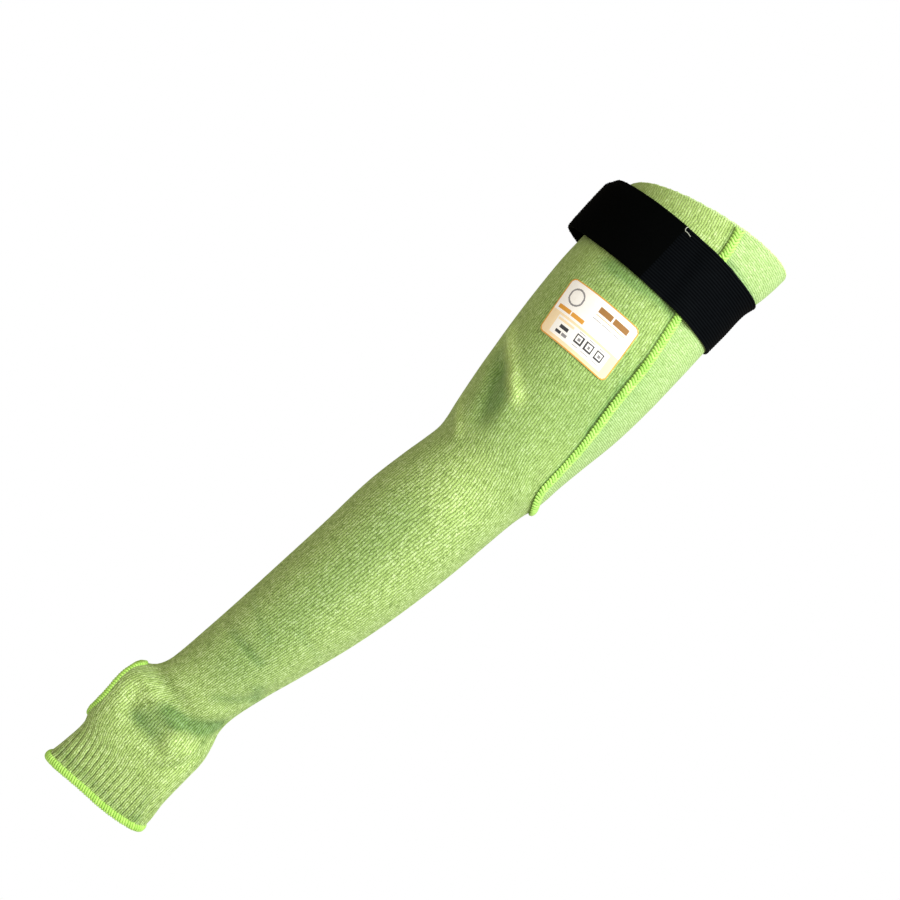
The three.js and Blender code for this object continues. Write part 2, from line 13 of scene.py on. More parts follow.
import bpy
import numpy as np
from bpy.types import Material, Node, NodeSocket, NodeTree, Object
from mathutils import Matrix, Vector


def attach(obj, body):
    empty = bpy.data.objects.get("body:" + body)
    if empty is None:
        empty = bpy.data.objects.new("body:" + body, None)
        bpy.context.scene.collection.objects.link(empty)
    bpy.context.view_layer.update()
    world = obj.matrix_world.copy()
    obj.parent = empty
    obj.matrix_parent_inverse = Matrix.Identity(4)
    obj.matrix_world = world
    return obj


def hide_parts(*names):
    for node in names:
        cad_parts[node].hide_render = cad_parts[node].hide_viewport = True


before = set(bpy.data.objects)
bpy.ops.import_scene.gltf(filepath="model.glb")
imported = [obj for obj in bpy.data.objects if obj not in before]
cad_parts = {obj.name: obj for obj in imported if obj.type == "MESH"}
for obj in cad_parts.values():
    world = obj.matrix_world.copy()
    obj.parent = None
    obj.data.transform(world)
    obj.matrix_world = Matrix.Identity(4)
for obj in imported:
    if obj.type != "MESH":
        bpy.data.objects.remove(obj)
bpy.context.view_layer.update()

log = logging.getLogger("sleeve")
Array = np.ndarray
Colour = tuple[float, float, float, float]
WHITE: Colour = (1.0, 1.0, 1.0, 1.0)
FULL_TURN = 360.0
# Painted shade in a band beside the seam's bead, standing in for its shadow. These are the band's offset, its
# width, its strength and its fade towards the gusset's tip.
SEAM_SHADE_OFFSET = 0.004
SEAM_SHADE_WIDTH = 0.0014
SEAM_PAINTED_SHADE = 0.5
SEAM_SHADE_FADE = 0.02
DEPTH_HALVINGS = 26
MEETING_STEPS = 6
SPOT_TOLERANCE = 1e-9
DROP_TOLERANCE = 1e-6
CURVE_SAMPLES = 720
SEAM_SAMPLES = 160
SEAM_TIP_SAMPLES = 50
TAIL_SAMPLES = 31
NEAREST_REACH = 0.05
MM_PER_METRE = 1e3


class Section(NamedTuple):
    """A section of the sleeve's outside, in shares of the sleeve's length and the arm's half sizes."""

    at: float
    inner: float
    outer: float
    depth: float
    square: float


class GussetEdge(NamedTuple):
    """Half angle of the gusset, in degrees either side of +X, at a share of the length."""

    at: float
    turn: float


class Fold(NamedTuple):
    """A fold (or a dent, below nought) between two places; width and height are shares of the half width. In
    the table of painted light and shade, height is how much lighter (above nought) or darker the colour is
    painted.
    """

    from_at: float
    from_turn: float
    to_at: float
    to_turn: float
    width: float
    height: float


SECTIONS = (
    Section(-0.043, 0.943, 1.03, 1.0, 2.0),
    Section(0.01, 0.918, 1.036, 1.0, 2.0),
    Section(0.036, 0.903, 1.003, 0.995, 2.0),
    Section(0.072, 0.885, 1.024, 0.99, 2.0),
    Section(0.125, 0.839, 1.036, 0.971, 2.0),
    Section(0.197, 0.751, 1.074, 0.943, 2.0),
    Section(0.251, 0.664, 1.079, 0.905, 2.0),
    Section(0.304, 0.566, 1.046, 0.857, 2.0),
    Section(0.34, 0.49, 1.026, 0.82, 2.0),
    Section(0.362, 0.44, 1.023, 0.797, 2.0),
    Section(0.378, 0.4, 1.01, 0.78, 2.0),
    Section(0.393, 0.377, 0.978, 0.768, 2.0),
    Section(0.412, 0.39, 0.955, 0.762, 2.0),
    Section(0.447, 0.43, 0.938, 0.762, 2.0),
    Section(0.501, 0.472, 0.915, 0.762, 2.0),
    Section(0.573, 0.467, 0.856, 0.733, 2.0),
    Section(0.644, 0.472, 0.762, 0.676, 2.0),
    Section(0.716, 0.479, 0.623, 0.59, 2.0),
    Section(0.77, 0.492, 0.508, 0.514, 2.05),
    Section(0.805, 0.505, 0.446, 0.457, 2.1),
    Section(0.825, 0.528, 0.43, 0.434, 2.2),
    Section(0.841, 0.598, 0.446, 0.419, 2.4),
    Section(0.855, 0.745, 0.495, 0.419, 2.8),
    Section(0.877, 0.804, 0.557, 0.419, 3.2),
    Section(0.904, 0.79, 0.574, 0.4, 3.2),
    Section(0.927, 0.745, 0.584, 0.371, 3.0),
    Section(0.948, 0.66, 0.598, 0.343, 2.8),
    Section(0.975, 0.656, 0.639, 0.324, 2.7),
    Section(1.02, 0.69, 0.65, 0.314, 2.7),
)

GUSSET_EDGES = (
    GussetEdge(-0.03, 80.0),
    GussetEdge(0.022, 71.0),
    GussetEdge(0.102, 63.4),
    GussetEdge(0.17, 56.0),
    GussetEdge(0.233, 52.0),
    GussetEdge(0.299, 41.8),
    GussetEdge(0.34, 37.0),
    GussetEdge(0.381, 35.0),
)

MAIN_FOLDS = (
    Fold(0.277, 160, 0.298, 140, 0.13, -0.045),
    Fold(0.298, 140, 0.349, 126, 0.13, -0.045),
    Fold(0.277, 200, 0.34, 230, 0.15, -0.04),
    Fold(0.256, 157, 0.305, 113, 0.085, 0.024),
    Fold(0.355, 159, 0.387, 135, 0.085, 0.02),
    Fold(0.351, 53, 0.397, 22, 0.07, -0.018),
    Fold(0.742, 148, 0.738, 74, 0.07, -0.014),
    Fold(0.757, 20, 0.802, 49, 0.1, -0.02),
    Fold(0.839, 152, 0.84, 92, 0.08, -0.027),
    Fold(0.848, 70, 0.829, 25, 0.08, -0.027),
    Fold(0.867, 117, 0.892, 100, 0.1, -0.02),
    Fold(0.892, 100, 0.9, 81, 0.1, -0.02),
    Fold(0.942, 47, 0.969, 21, 0.1, -0.02),
)

FINE_FOLDS = (
    Fold(0.163, 70, 0.182, 59, 0.045, -0.01),
    Fold(0.12, 46, 0.177, 52, 0.08, -0.02),
    Fold(0.231, 101, 0.252, 94, 0.03, 0.008),
    Fold(0.166, 62.6, 0.272, 51.2, 0.03, -0.011),
    Fold(0.305, 113, 0.333, 110, 0.07, 0.012),
    Fold(0.685, 142, 0.677, 92, 0.05, -0.006),
    Fold(0.682, 76, 0.682, 29, 0.05, -0.006),
    Fold(0.63, 157, 0.63, 102, 0.05, -0.005),
    Fold(0.6, 158, 0.589, 99, 0.05, -0.005),
    Fold(0.855, 123, 0.863, 82, 0.06, 0.02),
    Fold(0.863, 82, 0.888, 75, 0.06, 0.02),
    Fold(0.839, 16, 0.889, 42, 0.045, -0.02),
    Fold(0.889, 42, 0.927, 76, 0.045, -0.016),
    Fold(0.06, 22, 0.02, 66, 0.05, -0.012),
)

# Painted light and shade along lines on the cloth, not relief. Rows below nought paint shade in creases and
# hollows, in the strap's shadow and on broad parts turned from the key light. Rows above nought paint light
# on ridges and on broad lit parts such as the hand and elbow. Width is a share of the half width and height
# is the strength.
LIGHT_AND_SHADE_ROWS = (
    Fold(0.831, 21, 0.857, 83, 0.085, -1.0),
    Fold(0.832, 30, 0.846, 58, 0.12, -0.5),
    Fold(0.122, 124, 0.112, 100, 0.1, -0.6),
    Fold(0.2, 60, 0.27, 57, 0.3, -0.3),
    Fold(0.17, 105, 0.33, 97, 0.75, -0.38),
    Fold(0.3, 138, 0.33, 130, 0.22, -0.4),
    Fold(0.857, 83, 0.89, 95, 0.095, -1.0),
    Fold(0.89, 97, 0.892, 86, 0.08, -0.3),
    Fold(0.855, 36, 0.894, 56, 0.022, -0.6),
    Fold(0.894, 56, 0.918, 79, 0.022, -0.4),
    Fold(0.837, 134, 0.838, 95, 0.06, -0.35),
    Fold(0.948, 53, 0.974, 43, 0.08, -0.45),
    Fold(0.989, 151, 0.978, 36, 0.06, -0.45),
    Fold(0.779, 32, 0.806, 71, 0.07, -0.5),
    Fold(0.738, 127, 0.738, 74, 0.05, -0.5),
    Fold(0.782, 0, 0.764, 43, 0.08, -0.6),
    Fold(0.69, 159, 0.711, 90, 0.04, -0.3),
    Fold(0.679, 79, 0.686, 35, 0.04, -0.25),
    Fold(0.283, 159, 0.321, 125, 0.12, -0.45),
    Fold(0.321, 125, 0.346, 122, 0.13, -0.25),
    Fold(0.253, 162, 0.304, 110, 0.085, 1.1),
    Fold(0.348, 170, 0.38, 134, 0.06, 0.6),
    Fold(0.116, 116, 0.105, 70, 0.08, -1.0),
    Fold(0.2, 62.0, 0.272, 52.0, 0.03, -0.35),
    Fold(0.875, 78, 0.868, 50, 0.09, 0.35),
    Fold(0.862, 127, 0.888, 113, 0.09, 0.3),
    Fold(0.88, 44, 0.93, 38, 0.14, 0.3),
    Fold(0.86, 150, 0.915, 147, 0.14, -0.3),
    Fold(0.02, 66, 0.0215, 18, 0.03, -0.7),
    Fold(0.86, 110, 0.95, 80, 0.5, 0.3),
    Fold(0.4, 100, 0.44, 80, 0.25, 0.3),
    Fold(0.5, 105, 0.76, 90, 0.3, -0.4),
)


@dataclass(frozen=True)
class SleeveSizes:
    """Main sizes of the sleeve, in metres and degrees. They repeat the source's own named values."""

    length: float = 0.5588
    arm_half_width: float = 0.061
    arm_half_depth: float = 0.0525
    cloth: float = 0.0018
    gap: float = 0.0003
    hem_slope: float = 0.016
    hem_front_rise: float = 0.005
    cuff_slope: float = 0.006
    cuff_rib_height: float = 0.038
    cuff_binding_width: float = 0.005
    cuff_binding_thickness: float = 0.003
    thumb_drop: float = 0.4985
    thumb_length: float = 0.044
    thumb_width: float = 0.023
    thumb_binding_width: float = 0.0045
    thumb_binding_thickness: float = 0.0028
    gusset_tip_drop: float = 0.213
    gusset_tip_radius: float = 0.017
    seam_width: float = 0.0056
    seam_thickness: float = 0.0018
    seam_clearance: float = 0.0006
    strap_drop: float = 0.0375
    strap_slope: float = 0.0045
    strap_width: float = 0.045
    strap_press: float = 0.0012
    strap_press_share: float = 0.7

    @property
    def gap_turn(self) -> float:
        """Half the gap beside the gusset's edge, as a turn in degrees."""
        return math.degrees(self.gap / 2 / self.arm_half_depth)


def smoothstep(value: Array) -> Array:
    """Eases from nought to one, flat outside that range."""
    t = np.clip(value, 0.0, 1.0)
    return t * t * (3.0 - 2.0 * t)


def bell(value: Array) -> Array:
    """Bell curve that is one at nought."""
    return np.exp(-np.square(value))


def turn_between(a: Array, b: Array) -> Array:
    """Signed difference of two turns, in degrees."""
    return np.mod(a - b + 180.0, FULL_TURN) - 180.0


def signed_power(value: Array, power: Array) -> Array:
    """Power that keeps the sign."""
    return np.sign(value) * np.abs(value) ** power


def unit(vectors: Array) -> Array:
    """Vectors of length one."""
    return vectors / np.maximum(np.linalg.norm(vectors, axis=-1, keepdims=True), 1e-12)


def linear(red: int, green: int, blue: int) -> Colour:
    """Turns a screen colour into the linear one that shaders take.

    Args:
        red, green, blue: the colour from 0 to 255.

    Returns:
        Linear red, green, blue and alpha.
    """
    def part(value: int) -> float:
        """One part of the colour, made linear."""
        share = value / 255.0
        return share / 12.92 if share <= 0.04045 else ((share + 0.055) / 1.055) ** 2.4
    return part(red), part(green), part(blue), 1.0


class ArmSurface:
    """The outside of the cloth on the arm, as a function of height and turn."""

    def __init__(self, sizes: SleeveSizes, folds: tuple[Fold, ...]) -> None:
        """Keeps the sizes, the tables as columns and the folds in metres."""
        self.sizes = sizes
        self.folds = folds
        self.sections = self.columns(SECTIONS)
        self.edges = self.columns(GUSSET_EDGES)

    @staticmethod
    def columns(rows: tuple) -> dict[str, Array]:
        """A table's columns by name."""
        return {name: np.array([getattr(row, name) for row in rows]) for name in rows[0]._fields}

    @staticmethod
    def smooth_value(table: dict[str, Array], column: str, at: Array) -> Array:
        """Reads one column of a table on a smooth curve through its rows.

        Args:
            table: the columns by name, with the shares of the length as "at".
            column: the column to read.
            at: shares of the sleeve's length.

        Returns:
            The column's values there.
        """
        rows = table["at"]
        values = table[column]
        numbers = np.arange(len(rows))
        before = np.maximum(numbers - 1, 0)
        after = np.minimum(numbers + 1, len(rows) - 1)
        slopes = (values[after] - values[before]) / (rows[after] - rows[before])
        i = np.clip(np.searchsorted(rows, at, side="right") - 1, 0, len(rows) - 2)
        span = rows[i + 1] - rows[i]
        t = np.clip((at - rows[i]) / span, 0.0, 1.0)
        low = (2 * t**3 - 3 * t**2 + 1) * values[i] + (t**3 - 2 * t**2 + t) * span * slopes[i]
        return low + (3 * t**2 - 2 * t**3) * values[i + 1] + (t**3 - t**2) * span * slopes[i + 1]

    def section(self, z: Array) -> tuple[Array, Array, Array, Array]:
        """Middle, half width, half depth and squareness of the arm at a height."""
        at = -z / self.sizes.length
        inner = self.smooth_value(self.sections, "inner", at) * self.sizes.arm_half_width
        outer = self.smooth_value(self.sections, "outer", at) * self.sizes.arm_half_width
        depth = self.smooth_value(self.sections, "depth", at) * self.sizes.arm_half_depth
        return (outer - inner) / 2, (outer + inner) / 2, depth, self.smooth_value(self.sections, "square", at)

    def strap_height(self, turn: Array) -> Array:
        """Height of the strap's middle at a turn."""
        return -self.sizes.strap_drop + self.sizes.strap_slope * np.cos(np.radians(turn))

    def fold_sum(self, folds: tuple[Fold, ...], z: Array, turn: Array, radius: Array) -> Array:
        """Adds up folds at places on the cloth.

        Args:
            folds: the folds.
            z, turn: the places.
            radius: the arm's mean radius there.

        Returns:
            Their heights there, as shares.
        """
        length = self.sizes.length
        out = np.zeros_like(z)
        for fold in folds:
            from_z = -fold.from_at * length
            run_z = -fold.to_at * length - from_z
            run_across = np.radians(turn_between(fold.to_turn, fold.from_turn)) * radius
            rise = z - from_z
            across = np.radians(turn_between(turn, fold.from_turn)) * radius
            along = (rise * run_z + across * run_across) / (run_z**2 + run_across**2)
            share = np.clip(along, 0.0, 1.0)
            distance = np.hypot(rise - share * run_z, across - share * run_across)
            out = out + fold.height * bell(distance / (fold.width * self.sizes.arm_half_width))
        return out

    def strap_relief(self, z: Array, turn: Array) -> Array:
        """How far the strap presses the cloth in."""
        pressed = self.sizes.strap_press_share * self.sizes.strap_width
        return -self.sizes.strap_press * bell(((z - self.strap_height(turn)) / pressed) ** 2)

    def shade(self, z: Array, turn: Array) -> Array:
        """How much darker (below nought) or lighter the cloth's colour is painted: painted shade in its
        creases, in the strap's shadow and beside the seam's bead, and painted light on folds and lit parts.
        """
        z, turn = np.broadcast_arrays(np.asarray(z, dtype=float), np.asarray(turn, dtype=float))
        _, half_width, half_depth, _ = self.section(z)
        painted_sum = self.fold_sum(LIGHT_AND_SHADE_ROWS, z, turn, (half_width + half_depth) / 2)
        # Painted shade of the seam's bead, in a band beside the gusset's edge, fading out at the gusset's
        # tip.
        beyond = np.radians(np.abs(turn_between(turn, 0.0)) - self.gusset_turn(z)) * self.sizes.arm_half_depth
        groove = bell((beyond - SEAM_SHADE_OFFSET) / SEAM_SHADE_WIDTH)
        above_tip = smoothstep((z + self.sizes.gusset_tip_drop) / SEAM_SHADE_FADE)
        return painted_sum - SEAM_PAINTED_SHADE * groove * above_tip

    def place(self, z: Array, turn: Array, offset: Array = 0.0) -> tuple[Array, Array]:
        """Points on or off the cloth's outside.

        Args:
            z, turn: the places on the cloth.
            offset: distance out of the cloth's outside.

        Returns:
            The points, and the directions out of the section there.
        """
        z, turn, offset = np.broadcast_arrays(*(np.asarray(v, dtype=float) for v in (z, turn, offset)))
        middle, half_width, half_depth, square = self.section(z)
        x = signed_power(np.cos(np.radians(turn)), 2 / square)
        y = -signed_power(np.sin(np.radians(turn)), 2 / square)
        across = signed_power(x, square - 1) / half_width
        deep = signed_power(y, square - 1) / half_depth
        normal = unit(np.stack([across, deep, np.zeros_like(x)], -1))
        point = np.stack([middle + half_width * x, half_depth * y, z], -1)
        folded = self.fold_sum(self.folds, z, turn, (half_width + half_depth) / 2) * self.sizes.arm_half_width
        out = folded + self.strap_relief(z, turn) + offset
        return point + normal * out[..., None], normal

    def straight_gusset_turn(self, z: Array) -> Array:
        """Half angle of the gusset as if it had no round tip."""
        return self.smooth_value(self.edges, "turn", -np.asarray(z, dtype=float) / self.sizes.length)

    def gusset_turn(self, z: Array) -> Array:
        """Half angle of the gusset at a height, nought at its tip and below."""
        share = np.clip((z + self.sizes.gusset_tip_drop) / self.sizes.gusset_tip_radius, 0.0, 1.0)
        return self.straight_gusset_turn(z) * np.sqrt(1.0 - (1.0 - share) ** 2)

    def turn_at_depth(self, z: Array, y: Array) -> Array:
        """Turn on the thumb's side at which the middle of the cloth stands as far forward as y."""
        low = np.full_like(z, 90.0)
        high = np.full_like(z, 270.0)
        for _ in range(DEPTH_HALVINGS):
            middle = (low + high) / 2
            front = self.place(z, middle, -self.sizes.cloth / 2)[0][..., 1] < y
            low = np.where(front, middle, low)
            high = np.where(front, high, middle)
        return (low + high) / 2


class Level(NamedTuple):
    """A row round the arm: its drop, its slope to the outer side and its rise in front."""

    drop: float
    slope: float
    rise: float

    def height(self, turn: Array) -> Array:
        """Height of the row at a turn."""
        return level_height(np.array(self), turn)


def level_height(levels: Array, turn: Array) -> Array:
    """Heights of rows at turns; the levels' last axis is drop, slope and rise."""
    angle = np.radians(turn)
    return -levels[..., 0] + levels[..., 1] * np.cos(angle) + levels[..., 2] * np.sin(angle)


def meeting_turn(levels: Array, turn_at: Callable[[Array], Array]) -> Array:
    """Turns at which rows meet an edge, by coming closer step by step.

    Args:
        levels: the rows.
        turn_at: gives the edge's turn at a height.

    Returns:
        A turn for each row.
    """
    turn = np.zeros(len(levels))
    for _ in range(MEETING_STEPS):
        turn = turn_at(level_height(levels, turn))
    return turn


def gusset_meeting(arm: ArmSurface, levels: Array, side: int) -> Array:
    """Turn at which each row meets an edge of the gusset: side is 1 in front and -1 at the back."""
    return meeting_turn(levels, lambda z: side * arm.gusset_turn(z))


def spaced_levels(keys: list[tuple[Level, float]]) -> Array:
    """Rows between key levels.

    Args:
        keys: each key level with the spacing of the rows below it.

    Returns:
        An array of drop, slope and rise, a row for each level.
    """
    rows = [np.array(keys[0][0])]
    for (level, step), (following, _) in zip(keys, keys[1:]):
        steps = max(1, round((following.drop - level.drop) / step))
        for k in range(1, steps + 1):
            rows.append(np.array(level) + (np.array(following) - np.array(level)) * (k / steps))
    return np.array(rows)


def hem_level(sizes: SleeveSizes) -> Level:
    """The raw upper edge."""
    return Level(0.0, sizes.hem_slope, sizes.hem_front_rise)


def upper_levels(sizes: SleeveSizes, row_step: float, tip_steps: int) -> Array:
    """Rows from the hem down to the gusset's tip, closer together round the tip.

    Args:
        sizes: the sleeve's sizes.
        row_step: spacing of the rows.
        tip_steps: rows round the gusset's tip.

    Returns:
        An array of drop, slope and rise.
    """
    half = sizes.strap_width / 2
    shoulder = sizes.gusset_tip_drop - sizes.gusset_tip_radius
    rows = spaced_levels([
        (hem_level(sizes), row_step / 2),
        (Level(sizes.strap_drop - half, sizes.strap_slope, 0.0), row_step),
        (Level(sizes.strap_drop + half, sizes.strap_slope, 0.0), row_step),
        (Level(sizes.strap_drop + 2 * half, 0.0, 0.0), row_step),
        (Level(shoulder, 0.0, 0.0), row_step),
    ])
    angles = np.arange(1, tip_steps + 1) * (math.pi / 2 / tip_steps)
    drops = sizes.gusset_tip_drop - sizes.gusset_tip_radius * (1 - np.sin(angles))
    tip = np.stack([drops, np.zeros_like(drops), np.zeros_like(drops)], -1)
    return np.vstack([rows, tip])


class Shell:
    """A closed mesh in the making: points, faces, and what is stored at points and corners."""

    def __init__(self, points: Array, faces: list[tuple[int, ...]], corner_uv: Array | None = None) -> None:
        """Keeps points, faces and the UV places of the faces' corners."""
        self.points = np.asarray(points, dtype=float)
        self.faces = faces
        self.corner_uv = corner_uv
        self.point_values: dict[str, Array] = {}

    def outward(self) -> "Shell":
        """Turns all faces round if they point inwards."""
        volume = 0.0
        for face in self.faces:
            corner = self.points[face[0]]
            for b, c in zip(face[1:], face[2:]):
                volume += float(np.dot(corner, np.cross(self.points[b], self.points[c])))
        if volume < 0:
            self.faces = [tuple(reversed(face)) for face in self.faces]
            if self.corner_uv is not None:
                ends = np.cumsum([len(face) for face in self.faces])
                parts = np.split(self.corner_uv, ends[:-1])
                self.corner_uv = np.vstack([part[::-1] for part in parts])
        return self

    def build(self, name: str, sharp: float = 60.0) -> Object:
        """Makes the Blender object.

        Args:
            name: the object's name.
            sharp: edges steeper than this angle, in degrees, stay sharp.

        Returns:
            The object, linked to the scene, at the origin.
        """
        mesh = bpy.data.meshes.new(name)
        mesh.from_pydata(self.points.tolist(), [], self.faces)
        if self.corner_uv is not None:
            layer = mesh.uv_layers.new(name="stitches")
            layer.data.foreach_set("uv", self.corner_uv.astype(np.float32).ravel())
        for key, values in self.point_values.items():
            kind = "FLOAT_VECTOR" if values.ndim == 2 else "FLOAT"
            field = "vector" if values.ndim == 2 else "value"
            mesh.attributes.new(key, kind, "POINT").data.foreach_set(field, values.astype(np.float32).ravel())
        mesh.shade_smooth()
        mesh.set_sharp_from_angle(angle=math.radians(sharp))
        mesh.validate()
        piece = bpy.data.objects.new(name, mesh)
        bpy.context.scene.collection.objects.link(piece)
        return piece


def wall_shell(outer: Array, inner: Array, faces: list[tuple[int, ...]], uv: list | None = None) -> Shell:
    """Makes a wall from a sheet's two sides: both faces and a rim along each open edge.

    Args:
        outer, inner: points of the two sides, which share their numbers.
        faces: faces of the outer side.
        uv: for each face, the UV places of its corners.

    Returns:
        The closed shell.
    """
    count = len(outer)
    edges: dict[tuple[int, int], tuple] = {}
    for number, face in enumerate(faces):
        for k, p in enumerate(face):
            q = face[(k + 1) % len(face)]
            if (q, p) in edges:
                del edges[(q, p)]
            else:
                edges[(p, q)] = (number, k)
    all_faces = list(faces)
    all_faces += [tuple(p + count for p in reversed(face)) for face in faces]
    places = list(uv) + [tuple(reversed(corners)) for corners in uv] if uv else None
    for (p, q), (number, k) in edges.items():
        all_faces.append((q, p, p + count, q + count))
        if places is not None:
            here = uv[number][k]
            there = uv[number][(k + 1) % len(uv[number])]
            places.append((there, here, here, there))
    corner_uv = np.array([place for corners in places for place in corners]) if places else None
    return Shell(np.vstack([outer, inner]), all_faces, corner_uv)


def grid_faces(rows: int, columns: int) -> list[tuple[int, ...]]:
    """Faces of a plain grid of points, row by row."""
    faces = []
    for j in range(rows - 1):
        for i in range(columns - 1):
            a = j * columns + i
            faces.append((a, a + columns, a + columns + 1, a + 1))
    return faces


def knit_faces(numbers: Array, uv: Array, corners: tuple, hole: Array | None = None) -> tuple[list, list]:
    """Faces of a grid of knit, without those in a hole.

    Args:
        numbers: the grid's point numbers, the same for points that are run together.
        uv: the UV place of each point.
        corners: a face's four corners, as steps down and across the grid.
        hole: which points lie in a hole.

    Returns:
        The faces, and the UV places of their corners.
    """
    faces = []
    places = []
    rows, columns = numbers.shape
    for j in range(rows - 1):
        for i in range(columns - 1):
            spots = [(j + down, i + across) for down, across in corners]
            if hole is not None and all(hole[spot] for spot in spots):
                continue
            face = []
            place = []
            for spot in spots:
                number = int(numbers[spot])
                if number not in face:
                    face.append(number)
                    place.append(tuple(uv[spot]))
            if len(face) > 2:
                faces.append(tuple(face))
                places.append(tuple(place))
    return faces, places


@dataclass
class PathFrames:
    """Places along a path on the cloth, with the directions across, out and along at each."""

    point: Array
    side: Array
    out: Array
    along: Array


def path_frames(arm: ArmSurface, z: Array, turn: Array, offset: float, closed: bool) -> PathFrames:
    """Works out frames along a path.

    Args:
        arm: the surface.
        z, turn: the path's places.
        offset: distance out of the cloth's outside.
        closed: whether the path is a ring.

    Returns:
        The frames.
    """
    point, normal = arm.place(z, turn, offset)
    if closed:
        ahead = np.roll(point, -1, axis=0)
        behind = np.roll(point, 1, axis=0)
    else:
        ahead = np.vstack([point[1:], point[-1:]])
        behind = np.vstack([point[:1], point[:-1]])
    along = unit(ahead - behind)
    side = unit(np.cross(along, normal))
    return PathFrames(point, side, np.cross(side, along), along)


def even_path(arm: ArmSurface, z: Array, turn: Array, pitch: float, closed: bool) -> tuple[Array, Array]:
    """Spaces a path's places evenly.

    Args:
        arm: the surface.
        z, turn: closely spaced places; a ring's last place repeats its first.
        pitch: spacing wanted.
        closed: whether the path is a ring.

    Returns:
        Heights and turns of the evenly spaced places.
    """
    point = arm.place(z, turn)[0]
    steps = np.linalg.norm(np.diff(point, axis=0), axis=-1)
    length = np.concatenate([[0.0], np.cumsum(steps)])
    count = max(3, round(length[-1] / pitch))
    wanted = np.linspace(0.0, length[-1], count + 1)
    wanted = wanted[:-1] if closed else wanted[:-1] + length[-1] / count / 2
    return np.interp(wanted, length, z), np.interp(wanted, length, turn)


def swept_shell(frames: PathFrames, outline: Array, closed: bool) -> Shell:
    """Sweeps a closed outline of (across, out) points along frames."""
    sides = len(outline)
    count = len(frames.point)
    across = frames.side[:, None, :] * outline[None, :, 0, None]
    rise = frames.out[:, None, :] * outline[None, :, 1, None]
    points = (frames.point[:, None, :] + across + rise).reshape(-1, 3)
    faces = []
    for i in range(count if closed else count - 1):
        here = i * sides
        there = ((i + 1) % count) * sides
        for k in range(sides):
            following = (k + 1) % sides
            faces.append((here + k, there + k, there + following, here + following))
    if not closed:
        faces.append(tuple(range(sides)))
        faces.append(tuple(reversed(range((count - 1) * sides, count * sides))))
    return Shell(points, faces).outward()


class NodeWork:
    """Adds nodes to one tree and joins them."""

    def __init__(self, tree: NodeTree) -> None:
        """Keeps the tree."""
        self.tree = tree

    def feed(self, socket: NodeSocket, value: object) -> None:
        """Links a socket to another's output, or sets its own value."""
        if isinstance(value, NodeSocket):
            self.tree.links.new(value, socket)
        else:
            socket.default_value = value

    def add(self, kind: str, feeds: dict | None = None, **settings: object) -> Node:
        """Adds a node.

        Args:
            kind: the node's type.
            feeds: values or outputs for its inputs, by name or number.
            settings: its own properties.

        Returns:
            The node.
        """
        node = self.tree.nodes.new(kind)
        for name, value in settings.items():
            setattr(node, name, value)
        for key, value in (feeds or {}).items():
            self.feed(node.inputs[key], value)
        return node

    def math(self, operation: str, *values: object) -> NodeSocket:
        """A Math node's output."""
        return self.add("ShaderNodeMath", dict(enumerate(values)), operation=operation).outputs[0]

    def plus(self, a: object, b: object) -> NodeSocket:
        """A sum."""
        return self.math("ADD", a, b)

    def minus(self, a: object, b: object) -> NodeSocket:
        """A difference."""
        return self.math("SUBTRACT", a, b)

    def times(self, a: object, b: object) -> NodeSocket:
        """A product."""
        return self.math("MULTIPLY", a, b)

    def rib_wave(self, phase: object) -> NodeSocket:
        """Nought between ribs and one on top of them."""
        return self.math("ABSOLUTE", self.math("SINE", self.times(phase, math.pi)))

    def stored(self, name: str, part: str = "Fac") -> NodeSocket:
        """A value that the mesh holds, in a material."""
        return self.add("ShaderNodeAttribute", attribute_name=name).outputs[part]

    def split(self, vector: object) -> list[NodeSocket]:
        """The three parts of a vector."""
        return list(self.add("ShaderNodeSeparateXYZ", {0: vector}).outputs)

    def join(self, x: object, y: object, z: object = 0.0) -> NodeSocket:
        """A vector of three parts."""
        return self.add("ShaderNodeCombineXYZ", {0: x, 1: y, 2: z}).outputs[0]

    def grey(self, value: object) -> NodeSocket:
        """A vector of three equal parts."""
        return self.join(value, value, value)

    def scale_range(
        self, value: object, low: float, high: float, to_low: float = 0.0, to_high: float = 1.0
    ) -> NodeSocket:
        """Maps one range smoothly to another, held at its ends."""
        feeds = {0: value, 1: low, 2: high, 3: to_low, 4: to_high}
        return self.add("ShaderNodeMapRange", feeds, interpolation_type="SMOOTHSTEP").outputs[0]

    def group(self, tree: NodeTree, feeds: dict) -> Node:
        """Adds a node group that has its own inputs."""
        kind = "GeometryNodeGroup" if tree.bl_idname == "GeometryNodeTree" else "ShaderNodeGroup"
        node = self.tree.nodes.new(kind)
        node.node_tree = tree
        for key, value in feeds.items():
            self.feed(node.inputs[key], value)
        return node


TONE_SEED = 7
TILT_SEED = 3
SIZE_SEED = 5
TUFT_SPIN = 3.0
TUFT_SIZES = (0.6, 1.25)


class StitchForm(Enum):
    """How one strand of a row of stitches lies."""

    CHEVRON = "chevron"
    LOOP = "loop"
    ARCH = "arch"


